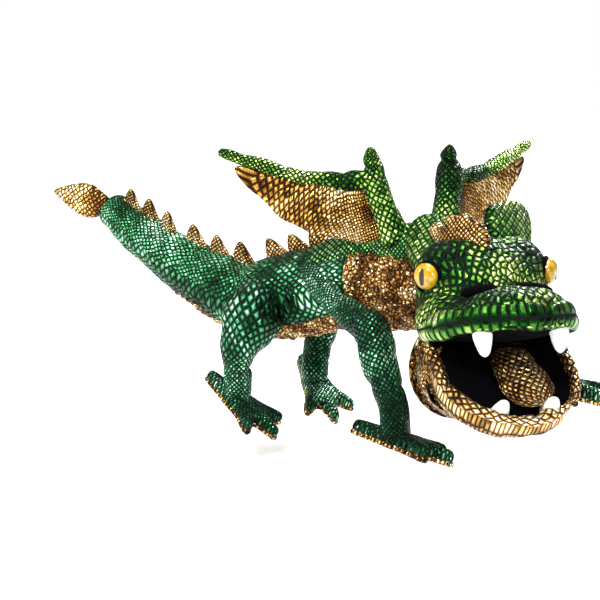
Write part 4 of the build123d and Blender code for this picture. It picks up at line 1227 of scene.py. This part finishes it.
def make_glove(settings):
    """Sleeve, hem and the pockets for fingers and thumb; boards, eyes and washers keep their shapes."""
    outer = cloth_tube("sleeve_cloth", 1.6, CLOTH["gold_fine"], 0.9)
    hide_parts("glove_sleeve")
    inner = cloth_tube("sleeve_lining", -0.4, CLOTH["lining"], 0.3)
    hem = rolled_ring("cuff_binding", np.array([2.4, 0, 8.0]), (1, 0, 0),
                      settings.cuff / MM, 2.4, CLOTH["gold_scales"], 120)
    sewn_on(hem, "head", GOLD, 1.0, "cuff_hem")
    turn = np.linspace(0, 2 * math.pi, 241)
    out = np.stack([np.zeros(241), np.cos(turn), np.sin(turn)], axis=1)
    around = np.array([5.0, 0, 8.0]) + out * (settings.cuff / MM + 0.9)
    bent = [(-0.4, 0, 0.3, 0.1), (-1.2, 1.2, 0.6, 0.55), (-1.9, 3.2, -0.2, 0.1)]
    thread = stuffed_tube("stitch_item", bent, CLOTH["thread"], around=6, along=6, cells=4)
    row = repeated("cuff_stitches", thread, around, out, np.ones(241), settings.stitches, 0.08, 11,
                   CLOTH["thread"])
    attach(row, "head")
    for name, rows, body, centre, half, span in (
            ("finger_pocket", HEAD, "head", 20.5, (36, 14), (-18, 38)),
            ("thumb_pocket", JAW, "jaw", -16.1, (17.5, 9.7), (3, 52))):
        path = [(*placed((x, 0, centre), rows), half[0]) for x in np.linspace(*span, 5)]
        pocket = stuffed_tube(f"{name}_cloth", path, CLOTH["lining"], around=64, along=50, round_end=12,
                              reference=rows[2], flatten=half[1] / half[0], shape=creased)
        sewn_on(pocket, body, BLACK, 0.1, name)


# Stage ------------------------------------------------------------------------------------------


LAMPS = (("key", (1.0, -1.1, 1.5), 32, 0.3), ("front", (1.6, -0.1, 0.5), 10, 0.3),
         ("top", (-0.1, 0.1, 1.6), 18, 0.6), ("rim", (-0.9, 0.8, 0.9), 16, 0.4),
         ("side", (-0.4, -1.7, 0.7), 12, 0.35))  # name, place, watts, width


CAMERA_PLACE = (1.1682, -0.4672, 0.2583)
AIM = Vector((-0.02, -0.05, 0.04))  # the lamps look at the middle of the puppet
FLOOR_HALF = 6.0
SENSOR_WIDTH = 36
WHITE = (1.0, 1.0, 1.0, 1.0)


def aimed(lamp_name, data, place):
    """Area lamp turned to the puppet."""
    lamp = bpy.data.objects.new(lamp_name, data)
    lamp.location = place
    lamp.rotation_euler = (AIM - Vector(place)).to_track_quat("-Z", "Y").to_euler()
    bpy.context.scene.collection.objects.link(lamp)


def make_stage(settings):
    """Pale floor that fades to white, soft lights and the camera."""
    scene = bpy.context.scene
    floor_z = float(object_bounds()[0][2]) - settings.floor_gap
    mesh = bpy.data.meshes.new("floor")
    mesh.from_pydata([(x * FLOOR_HALF, y * FLOOR_HALF, floor_z)
                      for x, y in ((-1, -1), (1, -1), (1, 1), (-1, 1))], [], [(0, 1, 2, 3)])
    floor = bpy.data.objects.new("floor", mesh)
    scene.collection.objects.link(floor)
    material, tree, shader = new_material("pale_floor")
    shader.inputs["Base Color"].default_value = settings.floor
    shader.inputs["Roughness"].default_value = 0.9
    shader.inputs["Emission Color"].default_value = WHITE
    place = add(tree, "ShaderNodeTexCoord").outputs["Object"]
    away = add(tree, "ShaderNodeVectorMath", {"operation": "LENGTH"}, {0: place})
    glow = add(tree, "ShaderNodeMapRange", {"interpolation_type": "SMOOTHSTEP"},
               {0: away.outputs["Value"], 1: 0.35, 2: 1.3, 3: 0.36, 4: 0.8})
    tree.links.new(glow.outputs[0], shader.inputs["Emission Strength"])
    mesh.materials.append(material)
    floor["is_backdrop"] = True
    world = bpy.data.worlds.new("studio")
    world.use_nodes = True
    tree = world.node_tree
    soft = tree.nodes["Background"]
    soft.inputs[0].default_value = WHITE
    soft.inputs[1].default_value = settings.soft_light
    paper = add(tree, "ShaderNodeBackground", inputs={0: WHITE, 1: 1.0})
    seen = add(tree, "ShaderNodeLightPath")
    both = add(tree, "ShaderNodeMixShader", inputs={0: seen.outputs["Is Camera Ray"], 1: soft.outputs[0],
                                                    2: paper.outputs[0]})
    tree.links.new(both.outputs[0], tree.nodes["World Output"].inputs[0])
    scene.world = world
    scene.view_settings.view_transform = "Standard"
    for name, place, power, wide in LAMPS:
        data = bpy.data.lights.new(name, "AREA")
        data.energy = power
        data.size = wide
        aimed(name, data, place)
    sun = bpy.data.lights.new("overhead", "SUN")
    sun.energy = 1.1
    sun.angle = math.radians(40)
    lamp = bpy.data.objects.new("overhead", sun)
    lamp.rotation_euler = (math.radians(20), math.radians(15), 0)
    scene.collection.objects.link(lamp)
    data = bpy.data.cameras.new("camera")
    data.lens = settings.lens
    data.sensor_width = SENSOR_WIDTH
    data.clip_start = 0.05
    camera = bpy.data.objects.new("camera", data)
    camera.location = CAMERA_PLACE
    az, el = settings.azimuth, settings.elevation
    back = Vector((math.sin(az) * math.cos(el), -math.cos(az) * math.cos(el), math.sin(el)))
    camera.rotation_euler = (-back).to_track_quat("-Z", "Y").to_euler()
    scene.collection.objects.link(camera)
    scene.camera = camera


# Operators --------------------------------------------------------------------------------------


class PUPPET_OT_cloths(bpy.types.Operator):
    """Make the foil plush, lining, felt and acrylic finishes"""

    bl_idname = "puppet.cloths"
    bl_label = "Cloths"

    def execute(self, context):
        make_cloths(context.scene.puppet_cloths)
        return {"FINISHED"}


class PUPPET_OT_stage(bpy.types.Operator):
    """Set up the floor, the lamps and the camera"""

    bl_idname = "puppet.stage"
    bl_label = "Stage"

    def execute(self, context):
        make_stage(context.scene.puppet_stage)
        return {"FINISHED"}


class PUPPET_OT_body(bpy.types.Operator):
    """Sew the neck, trunk and tail with throat, belly and shoulder straps"""

    bl_idname = "puppet.body"
    bl_label = "Neck, trunk and tail"

    def execute(self, context):
        make_body(context.scene.puppet_body)
        return {"FINISHED"}


class PUPPET_OT_spikes(bpy.types.Operator):
    """Set the padded spikes along the spine"""

    bl_idname = "puppet.spikes"
    bl_label = "Spikes"

    def execute(self, context):
        make_spikes(context.scene.puppet_body)
        return {"FINISHED"}


class PUPPET_OT_leaf(bpy.types.Operator):
    """Sew the padded leaf at the end of the tail"""

    bl_idname = "puppet.leaf"
    bl_label = "Tail leaf"

    def execute(self, context):
        make_leaf(context.scene.puppet_body)
        return {"FINISHED"}


class PUPPET_OT_legs(bpy.types.Operator):
    """Sew the four legs with their feet and soles"""

    bl_idname = "puppet.legs"
    bl_label = "Legs"

    def execute(self, context):
        make_legs(context.scene.puppet_body)
        return {"FINISHED"}


class PUPPET_OT_wings(bpy.types.Operator):
    """Sew the wing arms, edges and membranes"""

    bl_idname = "puppet.wings"
    bl_label = "Wings"

    def execute(self, context):
        make_wings(context.scene.puppet_body)
        return {"FINISHED"}


class PUPPET_OT_head(bpy.types.Operator):
    """Sew the head and its upper lip"""

    bl_idname = "puppet.head"
    bl_label = "Head"

    def execute(self, context):
        make_head(context.scene.puppet_head)
        return {"FINISHED"}


class PUPPET_OT_crest(bpy.types.Operator):
    """Sew the crest and the ears"""

    bl_idname = "puppet.crest"
    bl_label = "Crest and ears"

    def execute(self, context):
        make_crest(context.scene.puppet_head)
        return {"FINISHED"}


class PUPPET_OT_face(bpy.types.Operator):
    """Finish the eyes and sew the nostril slots"""

    bl_idname = "puppet.face"
    bl_label = "Eyes and nostrils"

    def execute(self, context):
        make_face(context.scene.puppet_head)
        return {"FINISHED"}


class PUPPET_OT_mouth(bpy.types.Operator):
    """Line the mouth"""

    bl_idname = "puppet.mouth"
    bl_label = "Mouth lining"

    def execute(self, context):
        make_mouth()
        return {"FINISHED"}


class PUPPET_OT_tongue(bpy.types.Operator):
    """Sew the tongue"""

    bl_idname = "puppet.tongue"
    bl_label = "Tongue"

    def execute(self, context):
        make_tongue(context.scene.puppet_head)
        return {"FINISHED"}


class PUPPET_OT_teeth(bpy.types.Operator):
    """Sew the four felt teeth"""

    bl_idname = "puppet.teeth"
    bl_label = "Teeth"

    def execute(self, context):
        make_teeth(context.scene.puppet_head)
        return {"FINISHED"}


class PUPPET_OT_jaw(bpy.types.Operator):
    """Sew the lower jaw, its lip and the chin gusset"""

    bl_idname = "puppet.jaw"
    bl_label = "Lower jaw"

    def execute(self, context):
        make_jaw(context.scene.puppet_head)
        return {"FINISHED"}


class PUPPET_OT_glove(bpy.types.Operator):
    """Sew the sleeve, its stitched binding and the pockets for the hand"""

    bl_idname = "puppet.glove"
    bl_label = "Glove"

    def execute(self, context):
        make_glove(context.scene.puppet_head)
        return {"FINISHED"}


OPERATORS = (PUPPET_OT_cloths, PUPPET_OT_stage, PUPPET_OT_body, PUPPET_OT_spikes, PUPPET_OT_leaf,
             PUPPET_OT_legs, PUPPET_OT_wings, PUPPET_OT_head, PUPPET_OT_crest, PUPPET_OT_face,
             PUPPET_OT_mouth, PUPPET_OT_tongue, PUPPET_OT_teeth, PUPPET_OT_jaw, PUPPET_OT_glove)
GROUPS = {"puppet_cloths": PuppetCloths, "puppet_body": PuppetBody, "puppet_head": PuppetHead,
          "puppet_stage": PuppetStage}


class PUPPET_PT_pieces(bpy.types.Panel):
    """Sizes, colours and pieces of the puppet"""

    bl_idname = "PUPPET_PT_pieces"
    bl_label = "Stuffed Dragon Puppet"
    bl_space_type = "VIEW_3D"
    bl_region_type = "UI"
    bl_category = "Puppet"

    def draw(self, context):
        for name, group in GROUPS.items():
            box = self.layout.box()
            for key in group.__annotations__:
                box.prop(getattr(context.scene, name), key)
        for operator in OPERATORS:
            self.layout.operator(operator.bl_idname)


def register():
    """Make the settings, operators and panel known."""
    for group in (*GROUPS.values(), *OPERATORS, PUPPET_PT_pieces):
        bpy.utils.register_class(group)
    for name, group in GROUPS.items():
        setattr(bpy.types.Scene, name, PointerProperty(type=group))


def unregister():
    """Forget the settings, operators and panel."""
    for name in GROUPS:
        delattr(bpy.types.Scene, name)
    for group in (PUPPET_PT_pieces, *reversed(OPERATORS), *reversed(GROUPS.values())):
        bpy.utils.unregister_class(group)


def main():
    """Sew the whole puppet."""
    register()
    for operator in OPERATORS:
        getattr(bpy.ops.puppet, operator.bl_idname.split(".")[1])()


if __name__ == "__main__":
    main()
